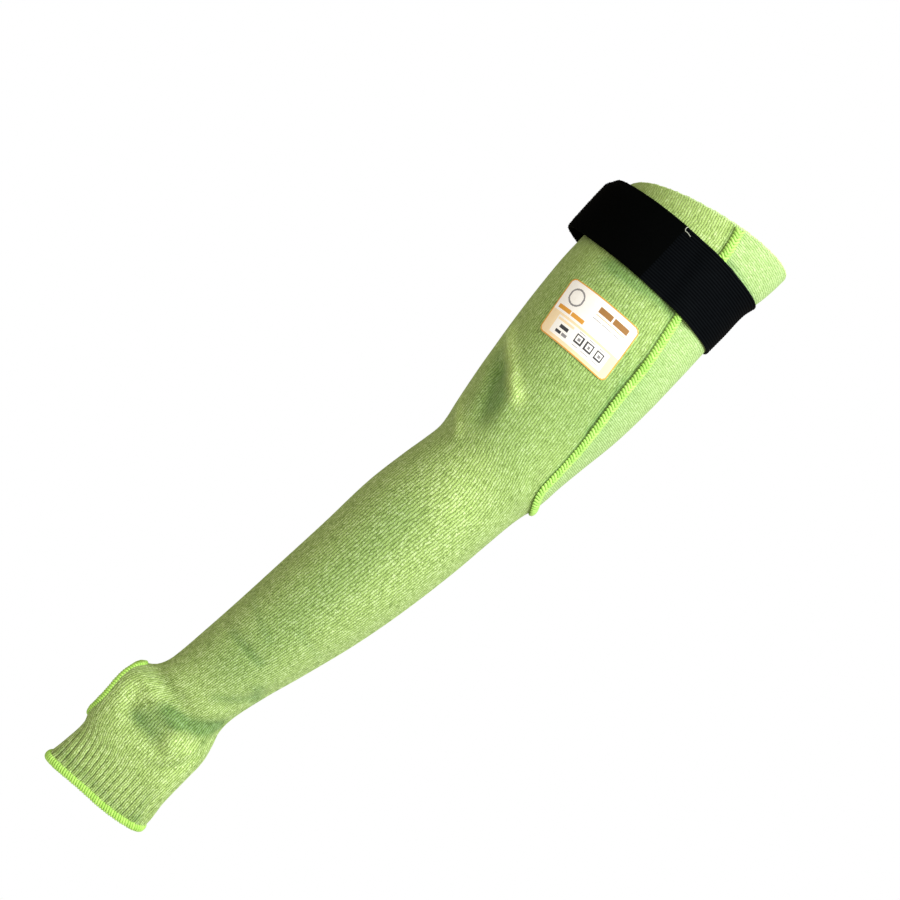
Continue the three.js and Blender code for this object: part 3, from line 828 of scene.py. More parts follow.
class GeometryTree(NodeWork):
    """A Geometry Nodes tree with named inputs."""

    def __init__(self, name: str) -> None:
        """Makes the tree with one geometry in and one out."""
        super().__init__(bpy.data.node_groups.new(name, "GeometryNodeTree"))
        self.tree.interface.new_socket("Geometry", in_out="INPUT", socket_type="NodeSocketGeometry")
        self.tree.interface.new_socket("Geometry", in_out="OUTPUT", socket_type="NodeSocketGeometry")
        self.entry = self.tree.nodes.new("NodeGroupInput")
        self.exit = self.tree.nodes.new("NodeGroupOutput")

    def size(self, name: str, kind: str = "NodeSocketFloat") -> NodeSocket:
        """Adds a named input and gives its output in the tree."""
        self.tree.interface.new_socket(name, in_out="INPUT", socket_type=kind)
        return self.entry.outputs[name]

    def attribute(self, name: str, kind: str = "FLOAT") -> NodeSocket:
        """Reads a named attribute."""
        return self.add("GeometryNodeInputNamedAttribute", {"Name": name}, data_type=kind).outputs[0]

    def random(self, low: object, high: object, seed: object) -> NodeSocket:
        """A number for each element, between two."""
        feeds = {2: low, 3: high, "Seed": seed}
        return self.add("FunctionNodeRandomValue", feeds, data_type="FLOAT").outputs[1]

    def together(self, *parts: NodeSocket) -> NodeSocket:
        """Several geometries as one."""
        both = self.add("GeometryNodeJoinGeometry")
        for part in parts:
            self.feed(both.inputs[0], part)
        return both.outputs[0]

    def close(self, geometry: NodeSocket) -> NodeTree:
        """Ends the tree in Realize Instances and Set Material."""
        material = self.size("Material", "NodeSocketMaterial")
        realized = self.add("GeometryNodeRealizeInstances", {"Geometry": geometry}).outputs[0]
        dressed = self.add("GeometryNodeSetMaterial", {"Geometry": realized, "Material": material}).outputs[0]
        self.feed(self.exit.inputs[0], dressed)
        return self.tree


def run_tree(piece: Object, tree: NodeTree, values: dict[str, object]) -> None:
    """Runs a tree on an object and keeps the result as its plain mesh.

    Args:
        piece: the object, whose mesh is replaced.
        tree: the Geometry Nodes tree.
        values: the tree's inputs by name.
    """
    modifier = piece.modifiers.new(tree.name, "NODES")
    modifier.node_group = tree
    for item in tree.interface.items_tree:
        if item.in_out == "INPUT" and item.name in values:
            modifier[item.identifier] = values[item.name]
    bpy.context.view_layer.update()
    graph = bpy.context.evaluated_depsgraph_get()
    result = piece.evaluated_get(graph)
    mesh = bpy.data.meshes.new_from_object(result, preserve_all_data_layers=True, depsgraph=graph)
    piece.modifiers.remove(modifier)
    old = piece.data
    piece.data = mesh
    bpy.data.meshes.remove(old)
    mesh.name = piece.name


def rib_tree() -> NodeTree:
    """A tree that presses grooves between ribs into a mesh, by its rib_phase and rib_strength values."""
    work = GeometryTree("raise_ribs")
    depth = work.size("Depth")
    roundness = work.size("Roundness")
    phase = work.attribute("rib_phase")
    strength = work.attribute("rib_strength")
    wave = work.rib_wave(phase)
    groove = work.minus(work.math("POWER", wave, roundness), 1.0)
    push = work.times(work.times(groove, depth), strength)
    normal = work.add("GeometryNodeInputNormal").outputs[0]
    offset = work.add("ShaderNodeVectorMath", {0: normal, "Scale": push}, operation="SCALE").outputs[0]
    body = work.entry.outputs[0]
    return work.close(work.add("GeometryNodeSetPosition", {"Geometry": body, "Offset": offset}).outputs[0])


def stitch_tree(form: StitchForm) -> NodeTree:
    """A tree that lays a strand of thread at each marked point and keeps the rest of the mesh.

    Args:
        form: how a strand lies.

    Returns:
        The tree.
    """
    work = GeometryTree(f"stitch_row_{form.value}")
    half = work.size("Half Width")
    rise = work.size("Rise")
    lean = work.size("Lean")
    radius = work.size("Thread Radius")
    steps = work.size("Steps", "NodeSocketInt")
    sides = work.size("Sides", "NodeSocketInt")
    seed = work.size("Seed", "NodeSocketInt")
    wobble = work.size("Wobble")
    index = work.add("GeometryNodeInputIndex").outputs[0]
    if form is StitchForm.LOOP:
        line = work.add("GeometryNodeMeshCircle", {"Vertices": steps}).outputs[0]
        angle = work.times(work.math("DIVIDE", index, steps), 2 * math.pi)
        across = work.math("COSINE", angle)
        up = work.math("SINE", angle)
        shift = across
    else:
        line = work.add("GeometryNodeMeshLine", {"Count": work.plus(steps, 1)}).outputs[0]
        share = work.math("DIVIDE", index, steps)
        across = work.minus(work.times(share, 2.0), 1.0)
        square = work.times(across, across)
        up = work.math("SQRT", work.math("MAXIMUM", work.minus(1.0, square), 0.0))
        away = work.minus(1.0, work.math("ABSOLUTE", across))
        shift = away if form is StitchForm.CHEVRON else across
    place = work.join(work.times(across, half), work.times(shift, lean), work.times(up, rise))
    bent = work.add("GeometryNodeSetPosition", {"Geometry": line, "Position": place}).outputs[0]
    curve = work.add("GeometryNodeMeshToCurve", {"Mesh": bent}).outputs[0]
    ring = work.add("GeometryNodeCurvePrimitiveCircle", {"Resolution": sides, "Radius": radius}).outputs[0]
    tube = {"Curve": curve, "Profile Curve": ring, "Fill Caps": form is not StitchForm.LOOP}
    strand = work.add("GeometryNodeCurveToMesh", tube).outputs[0]
    smooth = work.add("GeometryNodeSetShadeSmooth", {"Geometry": strand}).outputs[0]
    marked = work.math("GREATER_THAN", work.attribute("is_stitch"), 0.5)
    turned = work.add(
        "FunctionNodeAxesToRotation",
        {0: work.attribute("out", "FLOAT_VECTOR"), 1: work.attribute("side", "FLOAT_VECTOR")},
        primary_axis="Z", secondary_axis="X",
    ).outputs[0]
    body = work.entry.outputs[0]
    laid = work.add("GeometryNodeInstanceOnPoints", {
        "Points": body, "Selection": marked, "Instance": smooth, "Rotation": turned,
        "Scale": work.random(work.minus(1.0, wobble), work.plus(1.0, wobble), seed),
    }).outputs[0]
    tone = work.random(0.0, 1.0, work.plus(seed, TONE_SEED))
    toned = work.add(
        "GeometryNodeStoreNamedAttribute", {"Geometry": laid, "Name": "tone", "Value": tone},
        data_type="FLOAT", domain="INSTANCE",
    ).outputs[0]
    rest = work.add("GeometryNodeDeleteGeometry", {"Geometry": body, "Selection": marked}).outputs[0]
    return work.close(work.together(toned, rest))


def pile_tree() -> NodeTree:
    """A tree that sets short tufts of fibre all over a mesh."""
    work = GeometryTree("pile")
    density = work.size("Density")
    tuft_length = work.size("Tuft Length")
    tuft_radius = work.size("Tuft Radius")
    tilt = work.size("Tilt")
    seed = work.size("Seed", "NodeSocketInt")
    body = work.entry.outputs[0]
    spread = work.add("GeometryNodeDistributePointsOnFaces", {"Mesh": body, "Density": density, "Seed": seed})
    tuft = work.add("GeometryNodeMeshCone", {
        "Vertices": 3, "Radius Top": 0.0, "Radius Bottom": tuft_radius, "Depth": tuft_length,
    }, fill_type="NONE").outputs[0]
    lean = work.add(
        "FunctionNodeRandomValue", {"Seed": work.plus(seed, TILT_SEED)}, data_type="FLOAT_VECTOR"
    )
    back = work.times(tilt, -1.0)
    work.feed(lean.inputs[0], work.join(back, back, -TUFT_SPIN))
    work.feed(lean.inputs[1], work.join(tilt, tilt, TUFT_SPIN))
    tipped = work.add("FunctionNodeRotateRotation", {
        "Rotation": spread.outputs["Rotation"],
        "Rotate By": work.add("FunctionNodeEulerToRotation", {0: lean.outputs[0]}).outputs[0],
    }, rotation_space="LOCAL").outputs[0]
    size = work.random(*TUFT_SIZES, work.plus(seed, SIZE_SEED))
    tufts = work.add("GeometryNodeInstanceOnPoints", {
        "Points": spread.outputs[0], "Instance": tuft, "Rotation": tipped, "Scale": size,
    }).outputs[0]
    return work.close(work.together(body, tufts))


def shader_group(name: str, inputs: dict[str, str], outputs: dict[str, str]) -> tuple[NodeWork, dict, dict]:
    """Starts a shader node group.

    Args:
        name: the group's name.
        inputs, outputs: its sockets' kinds by name.

    Returns:
        The tree to add to, the group's inputs and the sockets that its outputs are fed to.
    """
    tree = bpy.data.node_groups.new(name, "ShaderNodeTree")
    for key, kind in inputs.items():
        tree.interface.new_socket(key, in_out="INPUT", socket_type=f"NodeSocket{kind}")
    for key, kind in outputs.items():
        tree.interface.new_socket(key, in_out="OUTPUT", socket_type=f"NodeSocket{kind}")
    work = NodeWork(tree)
    entry = tree.nodes.new("NodeGroupInput")
    leave = tree.nodes.new("NodeGroupOutput")
    return work, {key: entry.outputs[key] for key in inputs}, {key: leave.inputs[key] for key in outputs}


WANDER_SCALE = 0.45
WANDER = 0.9
STITCH_FALL = 2.2
STITCH_NOTCH = (0.0, 0.3, 0.85, 1.0)
PATCH_SHARES = (0.5, 0.25)
BROAD_SCALE = 0.12
FINE_SHARE = 0.6
BROAD_SHARE = 0.4


def knit_group() -> NodeTree:
    """Stitches of plain knit, from a UV map in wales and courses."""
    work, given, result = shader_group(
        "knit_stitches", {"UV": "Vector", "Lean": "Float"},
        {"Height": "Float", "Tone": "Float", "Patch": "Float"},
    )
    uv = given["UV"]
    loose = work.add("ShaderNodeTexNoise", {"Vector": uv, "Scale": WANDER_SCALE, "Detail": 2.0})
    centred = work.add(
        "ShaderNodeVectorMath", {0: loose.outputs["Color"], 1: (0.5, 0.5, 0.5)}, operation="SUBTRACT"
    ).outputs[0]
    shift = work.add("ShaderNodeVectorMath", {0: centred, "Scale": WANDER}, operation="SCALE").outputs[0]
    moved = work.add("ShaderNodeVectorMath", {0: uv, 1: shift}, operation="ADD").outputs[0]
    u, v, _ = work.split(moved)
    wale = work.math("FLOOR", u)
    off_middle = work.minus(work.minus(u, wale), 0.5)
    away = work.times(work.math("ABSOLUTE", off_middle), 2.0)
    right = work.math("GREATER_THAN", off_middle, 0.0)
    slanted = work.plus(v, work.times(away, given["Lean"]))
    course = work.math("FLOOR", slanted)
    along = work.minus(slanted, course)
    cushion = work.minus(1.0, work.math("POWER", away, STITCH_FALL))
    notch = work.scale_range(away, *STITCH_NOTCH)
    loop = work.math("SINE", work.times(along, math.pi))
    lifted = work.plus(work.times(loop, 0.5), 0.5)
    work.feed(result["Height"], work.times(work.times(cushion, notch), lifted))
    cell = work.join(work.plus(wale, work.times(right, 0.5)), course)
    work.feed(result["Tone"], work.add("ShaderNodeTexWhiteNoise", {"Vector": cell}).outputs["Value"])
    patch = work.add("ShaderNodeTexNoise", {
        "Vector": work.join(work.times(u, PATCH_SHARES[0]), work.times(v, PATCH_SHARES[1])),
        "Scale": 1.0, "Detail": 2.0, "Roughness": 0.6,
    })
    work.feed(result["Patch"], patch.outputs[0])
    return work.tree


def fibre_group() -> NodeTree:
    """Fine uneven fibre, from Object coordinates, as a height and as a value for tones."""
    work, given, result = shader_group(
        "fibre", {"Coordinates": "Vector", "Scale": "Float"}, {"Height": "Float", "Tone": "Float"}
    )
    place = given["Coordinates"]
    scale = given["Scale"]
    fine = work.add("ShaderNodeTexNoise", {
        "Vector": place, "Scale": scale, "Detail": 4.0, "Roughness": 0.65,
    }).outputs[0]
    broad = work.add("ShaderNodeTexNoise", {
        "Vector": place, "Scale": work.times(scale, BROAD_SCALE), "Detail": 2.0, "Roughness": 0.5,
    }).outputs[0]
    work.feed(result["Height"], fine)
    work.feed(result["Tone"], work.plus(work.times(fine, FINE_SHARE), work.times(broad, BROAD_SHARE)))
    return work.tree


@dataclass(frozen=True)
class KnitFinish:
    """Heathered knit."""

    name: str
    dark: Colour
    middle: Colour
    light: Colour
    lean: float
    depth: float
    # Darkest share of the yarn's colour in the painted shade of the grooves between stitches.
    groove: float
    felted: float
    felted_to: float
    # Tint of the painted shade in creases.
    hollow: Colour
    fibre_scale: float = 2200.0
    fibre_height: float = 0.25
    stitch_share: float = 0.5
    patch_share: float = 0.35
    heather_middle: float = 0.41
    tone_middle: float = 0.485
    felted_from: float = 0.6
    clearest: float = 0.86
    fuzz: float = 1.3
    dark_range: tuple[float, float] = (0.2, 0.46)
    light_range: tuple[float, float] = (0.5, 0.78)
    groove_top: float = 0.8
    # Gain of the painted light on folds.
    raised_gain: float = 0.45
    # Painted shade between the cuff's ribs: the flank over which it fades and its strength.
    rib_flank: float = 0.55
    rib_shade: float = 0.6


@dataclass(frozen=True)
class ThreadFinish:
    """Glossy overlock thread, in rows of strands."""

    name: str
    dark: Colour
    light: Colour
    fibre_scale: float = 3000.0
    strand_share: float = 0.55
    fibre_share: float = 0.5
    depth: float = 0.00012


@dataclass(frozen=True)
class WebbingFinish:
    """Woven elastic, plush or hook tape, all near black."""

    name: str
    dark: Colour
    light: Colour
    roughness: float
    sheen: float
    scale: float
    depth: float
    gloss: float
    tone_range: tuple[float, float] = (-0.3, 0.7)


@dataclass(frozen=True)
class LabelFinish:
    """Smooth printed label cloth, whose colours lie in the mesh."""

    name: str
    roughness: float
    weave: float
    depth: float
    # Strength of the faint painted glow that lightens the print.
    brightener: float
    worn_range: tuple[float, ...] = (0.35, 0.65, 0.93, 1.0)


KNIT = KnitFinish(
    "lime_knit", linear(134, 165, 82), linear(179, 212, 122), linear(215, 244, 168),
    lean=0.7, depth=0.00045, groove=0.24, felted=0.7, felted_to=180.0, hollow=(0.48, 0.6, 0.54, 1.0),
)
GUSSET_KNIT = KnitFinish(
    "lime_gusset_knit", linear(157, 193, 113), linear(181, 217, 137), linear(205, 239, 166),
    lean=0.7, depth=0.0003, groove=0.45, felted=1.0, felted_to=1.0, hollow=(0.5, 0.62, 0.58, 1.0),
)
SEAM_THREAD = ThreadFinish("seam_thread", linear(148, 206, 84), linear(196, 242, 128))
EDGE_THREAD = ThreadFinish("edge_thread", linear(158, 212, 86), linear(196, 242, 120))
ELASTIC = WebbingFinish(
    "ribbed_elastic", linear(1, 2, 4), linear(10, 13, 16),
    roughness=0.7, sheen=0.0, scale=1400.0, depth=0.00012, gloss=0.02,
)
PLUSH = WebbingFinish(
    "brushed_plush", linear(0, 1, 1), linear(2, 3, 3),
    roughness=0.95, sheen=0.0, scale=1100.0, depth=0.0003, gloss=0.03,
)
HOOK = WebbingFinish(
    "hook_tape", linear(3, 3, 4), linear(12, 13, 14),
    roughness=0.6, sheen=0.0, scale=1600.0, depth=0.0004, gloss=0.15,
)
TAIL = WebbingFinish(
    "pale_thread", linear(110, 118, 108), linear(170, 176, 164),
    roughness=0.8, sheen=0.1, scale=2500.0, depth=0.0001, gloss=0.3,
)
LABEL = LabelFinish("printed_label", roughness=0.55, weave=2600.0, depth=0.00004, brightener=0.08)


class Finishes:
    """Makes the materials, each once, from the shared node groups."""

    def __init__(self) -> None:
        """Builds the shared groups."""
        self.knit_tree = knit_group()
        self.fibre_tree = fibre_group()

    @staticmethod
    def start(name: str) -> tuple[Material, NodeWork, Node]:
        """A new material, its tree and its shader."""
        material = bpy.data.materials.new(name)
        material.use_nodes = True
        shader = material.node_tree.nodes["Principled BSDF"]
        return material, NodeWork(material.node_tree), shader

    @staticmethod
    def mix(work: NodeWork, share: object, a: object, b: object, blend: str = "MIX") -> NodeSocket:
        """A mix of two colours."""
        feeds = {0: share, 6: a, 7: b}
        return work.add("ShaderNodeMix", feeds, data_type="RGBA", blend_type=blend).outputs[2]

    def shade(self, work: NodeWork, a: object, b: object) -> NodeSocket:
        """One colour multiplied by another."""
        return self.mix(work, 1.0, a, b, "MULTIPLY")

    def fibre(self, work: NodeWork, scale: float) -> Node:
        """The fibre group on Object coordinates."""
        place = work.add("ShaderNodeTexCoord").outputs["Object"]
        return work.group(self.fibre_tree, {"Coordinates": place, "Scale": scale})

    @staticmethod
    def surface(
        work: NodeWork, shader: Node, colour: object, height: object, depth: float, own: dict
    ) -> None:
        """Gives a shader its colour, its relief and its uniform values.

        Args:
            work: the material's tree.
            shader: the shader.
            colour, height: outputs for its colour and relief.
            depth: how deep the relief is, in metres.
            own: values of the shader's own sockets, by name.
        """
        work.feed(shader.inputs["Base Color"], colour)
        bump = work.add("ShaderNodeBump", {"Height": height, "Distance": depth})
        work.feed(shader.inputs["Normal"], bump.outputs[0])
        for name, value in own.items():
            shader.inputs[name].default_value = value

    def knit(self, finish: KnitFinish) -> Material:
        """Makes a heathered knit: stitches, specks of light and dark yarn, painted shade in the grooves
        between stitches and between ribs, and painted light and shade in creases and on folds.
        """
        material, work, shader = self.start(finish.name)
        uv = work.add("ShaderNodeUVMap", uv_map="stitches").outputs[0]
        stitch = work.group(self.knit_tree, {"UV": uv, "Lean": finish.lean}).outputs
        fibre = self.fibre(work, finish.fibre_scale).outputs
        heather = work.plus(
            work.times(stitch["Tone"], finish.stitch_share), work.times(stitch["Patch"], finish.patch_share)
        )
        felted_from = finish.felted_to * finish.felted_from
        course = work.split(uv)[1]
        clear = work.scale_range(course, felted_from, finish.felted_to, finish.felted, finish.clearest)
        speckle = work.times(work.minus(heather, finish.heather_middle), clear)
        grain = work.times(work.minus(fibre["Tone"], 0.5), work.minus(finish.fuzz, clear))
        tone = work.plus(work.plus(speckle, finish.tone_middle), grain)
        low = self.mix(work, work.scale_range(tone, *finish.dark_range), finish.dark, finish.middle)
        yarn = self.mix(work, work.scale_range(tone, *finish.light_range), low, finish.light)
        # Painted shade in the grooves between stitches, by the stitch height, weaker where the knit is
        # felted.
        shaded = work.scale_range(stitch["Height"], 0.0, finish.groove_top, finish.groove - 1.0, 0.0)
        knitted = self.shade(work, yarn, work.grey(work.plus(work.times(shaded, clear), 1.0)))
        colour = self.ribbed(work, finish, self.creased(work, finish, knitted))
        height = work.plus(
            work.times(stitch["Height"], clear), work.times(fibre["Height"], finish.fibre_height)
        )
        self.surface(work, shader, colour, height, finish.depth, {
            "Roughness": 0.92, "Specular IOR Level": 0.25, "Sheen Weight": 0.18, "Sheen Roughness": 0.6,
            "Sheen Tint": (0.85, 1.0, 0.7, 1.0),
        })
        return material

    def creased(self, work: NodeWork, finish: KnitFinish, colour: NodeSocket) -> NodeSocket:
        """A colour with painted shade in creases and painted light on folds, by the painted shading value
        that the mesh holds.
        """
        hollow = work.stored("hollow")
        # Below nought the colour goes towards the painted shade tint; above nought it is painted lighter.
        deep = work.math("MINIMUM", work.math("MAXIMUM", work.times(hollow, -1.0), 0.0), 1.0)
        tint = self.mix(work, deep, WHITE, finish.hollow)
        raised = work.plus(work.times(work.math("MAXIMUM", hollow, 0.0), finish.raised_gain), 1.0)
        return self.shade(work, self.shade(work, colour, tint), work.grey(raised))

    def ribbed(self, work: NodeWork, finish: KnitFinish, colour: NodeSocket) -> NodeSocket:
        """A colour with painted shade between the ribs."""
        rib = work.rib_wave(work.stored("rib_phase"))
        flank = work.scale_range(rib, 0.0, finish.rib_flank, finish.rib_shade, 0.0)
        plain = work.minus(1.0, work.times(flank, work.stored("rib_strength")))
        return self.shade(work, colour, work.grey(plain))

    def thread(self, finish: ThreadFinish) -> Material:
        """Makes overlock thread, each strand with its own tone."""
        material, work, shader = self.start(finish.name)
        fibre = self.fibre(work, finish.fibre_scale).outputs
        strand = work.times(work.stored("tone"), finish.strand_share)
        share = work.plus(strand, work.times(fibre["Tone"], finish.fibre_share))
        colour = self.mix(work, share, finish.dark, finish.light)
        self.surface(work, shader, colour, fibre["Height"], finish.depth, {
            "Roughness": 0.6, "Specular IOR Level": 0.35, "Sheen Weight": 0.15,
        })
        return material

    def webbing(self, finish: WebbingFinish) -> Material:
        """Makes a near black tape with uneven fibre and painted shade between its ribs, where the mesh holds
        them.
        """
        material, work, shader = self.start(finish.name)
        fibre = self.fibre(work, finish.scale).outputs
        # Painted shade between the elastic's ribs, by its rib values.
        between = work.minus(1.0, work.rib_wave(work.stored("rib_phase")))
        groove = work.times(between, work.stored("rib_strength"))
        share = work.scale_range(work.minus(fibre["Tone"], groove), *finish.tone_range)
        colour = self.mix(work, share, finish.dark, finish.light)
        self.surface(work, shader, colour, fibre["Height"], finish.depth, {
            "Roughness": finish.roughness, "Specular IOR Level": finish.gloss, "Sheen Weight": finish.sheen,
        })
        return material

    def label(self, finish: LabelFinish) -> Material:
        """Makes the printed label from the ink colours that its mesh holds, with a faint painted glow in
        those colours.
        """
        material, work, shader = self.start(finish.name)
        ink = work.stored("ink", "Color")
        fibre = self.fibre(work, finish.weave).outputs
        colour = self.shade(work, ink, work.grey(work.scale_range(fibre["Tone"], *finish.worn_range)))
        self.surface(work, shader, colour, fibre["Height"], finish.depth, {
            "Roughness": finish.roughness, "Emission Strength": finish.brightener,
        })
        # The painted glow takes the ink's colour.
        work.feed(shader.inputs["Emission Color"], ink)
        return material


def dress(piece: Object, material: Material) -> None:
    """Gives an object one material."""
    piece.data.materials.clear()
    piece.data.materials.append(material)


def hand_over(piece: Object, slot: str, *nodes: str) -> None:
    """Puts a finished piece under the root body, hides the source's parts that it stands for and logs its
    triangles.

    Args:
        piece: the piece.
        slot: the record's material slot; not used.
        nodes: the source's nodes that it stands for.
    """
    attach(piece, "root")
    if nodes:
        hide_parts(*nodes)
    triangles = sum(len(face.vertices) - 2 for face in piece.data.polygons)
    log.info("%s: %d triangles", piece.name, triangles)


@dataclass
class KnitTube:
    """The knitted tube with its ribbed cuff, its thumb hole and the slit that the gusset fills."""

    arm: ArmSurface
    ribs: int = 39
    columns_per_rib: int = 6
    wales_per_rib: int = 3
    course_pitch: float = 0.00145
    row_step: float = 0.0029
    rib_row_step: float = 0.0024
    tip_rows: int = 10
    rib_depth: float = 0.0009
    wale_depth: float = 0.00016
    wale_fade: float = 0.04
    lean_shift: float = 0.034
    fan_top: float = 0.19
    fan_bottom: float = 0.25
    sample_turns: int = 360
    close_reach: float = 20.0
    close_samples: int = 40
    close_power: float = 3.2
    lean_from: float = 0.512
    lean_fade: float = 0.046
    lean_middle: float = 0.41
    lean_spread: float = 0.13
    rib_start: float = 0.006
    rib_fade: float = 0.024
    faint_share: float = 0.45
    faint_to: float = 0.14
    faint_fade: float = 0.1
    rib_roundness: float = 0.8

    def levels(self) -> Array:
        """All rows from the hem to the middle of the cuff's binding."""
        sizes = self.arm.sizes
        end = sizes.length - sizes.cuff_binding_width / 2
        rib_start = end - sizes.cuff_rib_height
        below = spaced_levels([
            (Level(sizes.gusset_tip_drop, 0.0, 0.0), self.row_step),
            (Level(rib_start, 0.0, 0.0), self.rib_row_step),
            (Level(end, sizes.cuff_slope, 0.0), self.rib_row_step),
        ])
        return np.vstack([upper_levels(sizes, self.row_step, self.tip_rows), below[1:]])

    def wale_edge(self, levels: Array, side: int) -> Array:
        """Turn at which the outermost wale runs, which eases to the arm's outer side below the gusset."""
        def turn_at(z: Array) -> Array:
            """Turn of that wale at a height."""
            ease = 1.0 - smoothstep((-self.fan_top - z) / (self.fan_bottom - self.fan_top))
            return side * self.arm.straight_gusset_turn(z) * ease
        return meeting_turn(levels, turn_at)

    def build(self) -> Object:
        """Builds the tube.

        Returns:
            The tube's object, holding the values that its ribs are raised by.
        """
        arm = self.arm
        sizes = arm.sizes
        levels = self.levels()
        rows = len(levels)
        columns = self.ribs * self.columns_per_rib
        near = self.close_reach * np.linspace(0.0, 1.0, self.close_samples) ** self.close_power
        corners = np.arange(0.0, FULL_TURN + 1.0, 90.0)[:, None]
        close = np.concatenate([(corners - near).ravel(), (corners + near).ravel()])
        samples = np.unique(np.concatenate([np.linspace(0.0, FULL_TURN, self.sample_turns + 1), close]))
        samples = samples[(samples >= 0.0) & (samples <= FULL_TURN)]
        ring = arm.place(level_height(levels[:, None, :], samples[None, :]), samples[None, :])[0]
        lengths = np.concatenate(
            [np.zeros((rows, 1)), np.cumsum(np.linalg.norm(np.diff(ring, axis=1), axis=-1), axis=1)], axis=1
        )
        shares = np.arange(columns + 1) / columns
        drop = levels[:, 0]
        open_row = drop < sizes.gusset_tip_drop - DROP_TOLERANCE
        front = np.where(open_row, gusset_meeting(arm, levels, 1) + sizes.gap_turn, 0.0)
        back = np.where(open_row, FULL_TURN + gusset_meeting(arm, levels, -1) - sizes.gap_turn, FULL_TURN)
        wale_front = self.wale_edge(levels, 1)
        wale_back = FULL_TURN + self.wale_edge(levels, -1)
        drift = self.lean_shift * smoothstep((drop - self.lean_from) / self.lean_fade)
        turn = np.empty((rows, columns + 1))
        wale = np.empty((rows, columns + 1))
        for j in range(rows):
            whole = lengths[j, -1]
            plain = np.interp(shares * whole, lengths[j], samples)
            plain = np.clip(plain, front[j], back[j])
            arc = np.interp(plain, samples, lengths[j])
            low, high = np.interp([wale_front[j], wale_back[j]], samples, lengths[j])
            wale[j] = (arc - low) / (high - low) * self.ribs * self.wales_per_rib
            leaning = bell((shares - self.lean_middle) / self.lean_spread) * drift[j]
            turn[j] = np.interp((arc / whole - leaning) * whole, lengths[j], samples) if drift[j] else plain
        z = level_height(levels[:, None, :], turn)
        numbers = np.arange(rows * (columns + 1)).reshape(rows, columns + 1)
        for j in range(rows):
            if open_row[j]:
                numbers[j] = np.where(turn[j] <= front[j] + SPOT_TOLERANCE, numbers[j, 0], numbers[j])
                numbers[j] = np.where(turn[j] >= back[j] - SPOT_TOLERANCE, numbers[j, -1], numbers[j])
            else:
                numbers[j, -1] = numbers[j, 0]
        hole, z, turn = self.thumb_hole(z, turn)
        uv = np.stack([wale, -z / self.course_pitch], -1)
        faces, places = knit_faces(numbers, uv, ((0, 0), (1, 0), (1, 1), (0, 1)), hole)
        between = np.where(np.arange(columns + 1) % 2 == 0, -self.wale_depth, 0.0)[None, :]
        raised = smoothstep((drop - self.fan_bottom) / self.wale_fade)[:, None]
        outer = arm.place(z, turn, between * raised)[0].reshape(-1, 3)
        inner = arm.place(z, turn, -sizes.cloth)[0].reshape(-1, 3)
        above_ribs = sizes.length - sizes.cuff_rib_height - self.rib_start
        fade = smoothstep((drop - above_ribs) / self.rib_fade)[:, None]
        faint = 1.0 - self.faint_share * smoothstep((self.faint_to - shares) / self.faint_fade)[None, :]
        strength = (fade * faint).ravel()
        used = np.unique(np.array([p for face in faces for p in face]))
        renumber = np.full(len(outer), -1)
        renumber[used] = np.arange(len(used))
        faces = [tuple(int(renumber[p]) for p in face) for face in faces]
        shell = wall_shell(outer[used], inner[used], faces, places)
        phase = (wale / self.wales_per_rib).ravel()[used]
        shell.point_values["rib_phase"] = np.concatenate([phase, phase])
        shell.point_values["rib_strength"] = np.concatenate([strength[used], np.zeros(len(used))])
        # Painted light and shade for the material: the painted rows and the seam's painted shade.
        hollow = arm.shade(z, turn).ravel()[used]
        shell.point_values["hollow"] = np.concatenate([hollow, hollow])
        return shell.outward().build("sleeve_knit_tube")

    def thumb_hole(self, z: Array, turn: Array) -> tuple[Array, Array, Array]:
        """Marks the points in the thumb hole and moves those of its edge out to the binding.

        Args:
            z, turn: the grid's places.

        Returns:
            Which points lie in the hole, and the places with that edge moved.
        """
        arm = self.arm
        sizes = arm.sizes
        half_width = (sizes.thumb_width + sizes.thumb_binding_width) / 2
        half_length = (sizes.thumb_length + sizes.thumb_binding_width) / 2
        point = arm.place(z, turn, -sizes.cloth / 2)[0]
        across = point[..., 1] / half_width
        up = (z + sizes.thumb_drop) / half_length
        reach = np.hypot(across, up)
        hole = (reach < 1.0) & (turn > 90.0) & (turn < 270.0)
        spots = np.argwhere(hole)
        rows, columns = spots[:, 0], spots[:, 1]
        grow = 1.0 / np.maximum(reach[rows, columns], NEAREST_REACH)
        new_z = -sizes.thumb_drop + up[rows, columns] * grow * half_length
        new_y = across[rows, columns] * grow * half_width
        z = z.copy()
        turn = turn.copy()
        z[rows, columns] = new_z
        turn[rows, columns] = arm.turn_at_depth(new_z, new_y)
        return hole, z, turn

    def finish(self, ribs: NodeTree, material: Material) -> Object:
        """Builds, ribs and dresses the tube."""
        piece = self.build()
        values = {"Depth": self.rib_depth, "Roundness": self.rib_roundness, "Material": material}
        run_tree(piece, ribs, values)
        hand_over(piece, "knit", "sleeve_tube")
        return piece


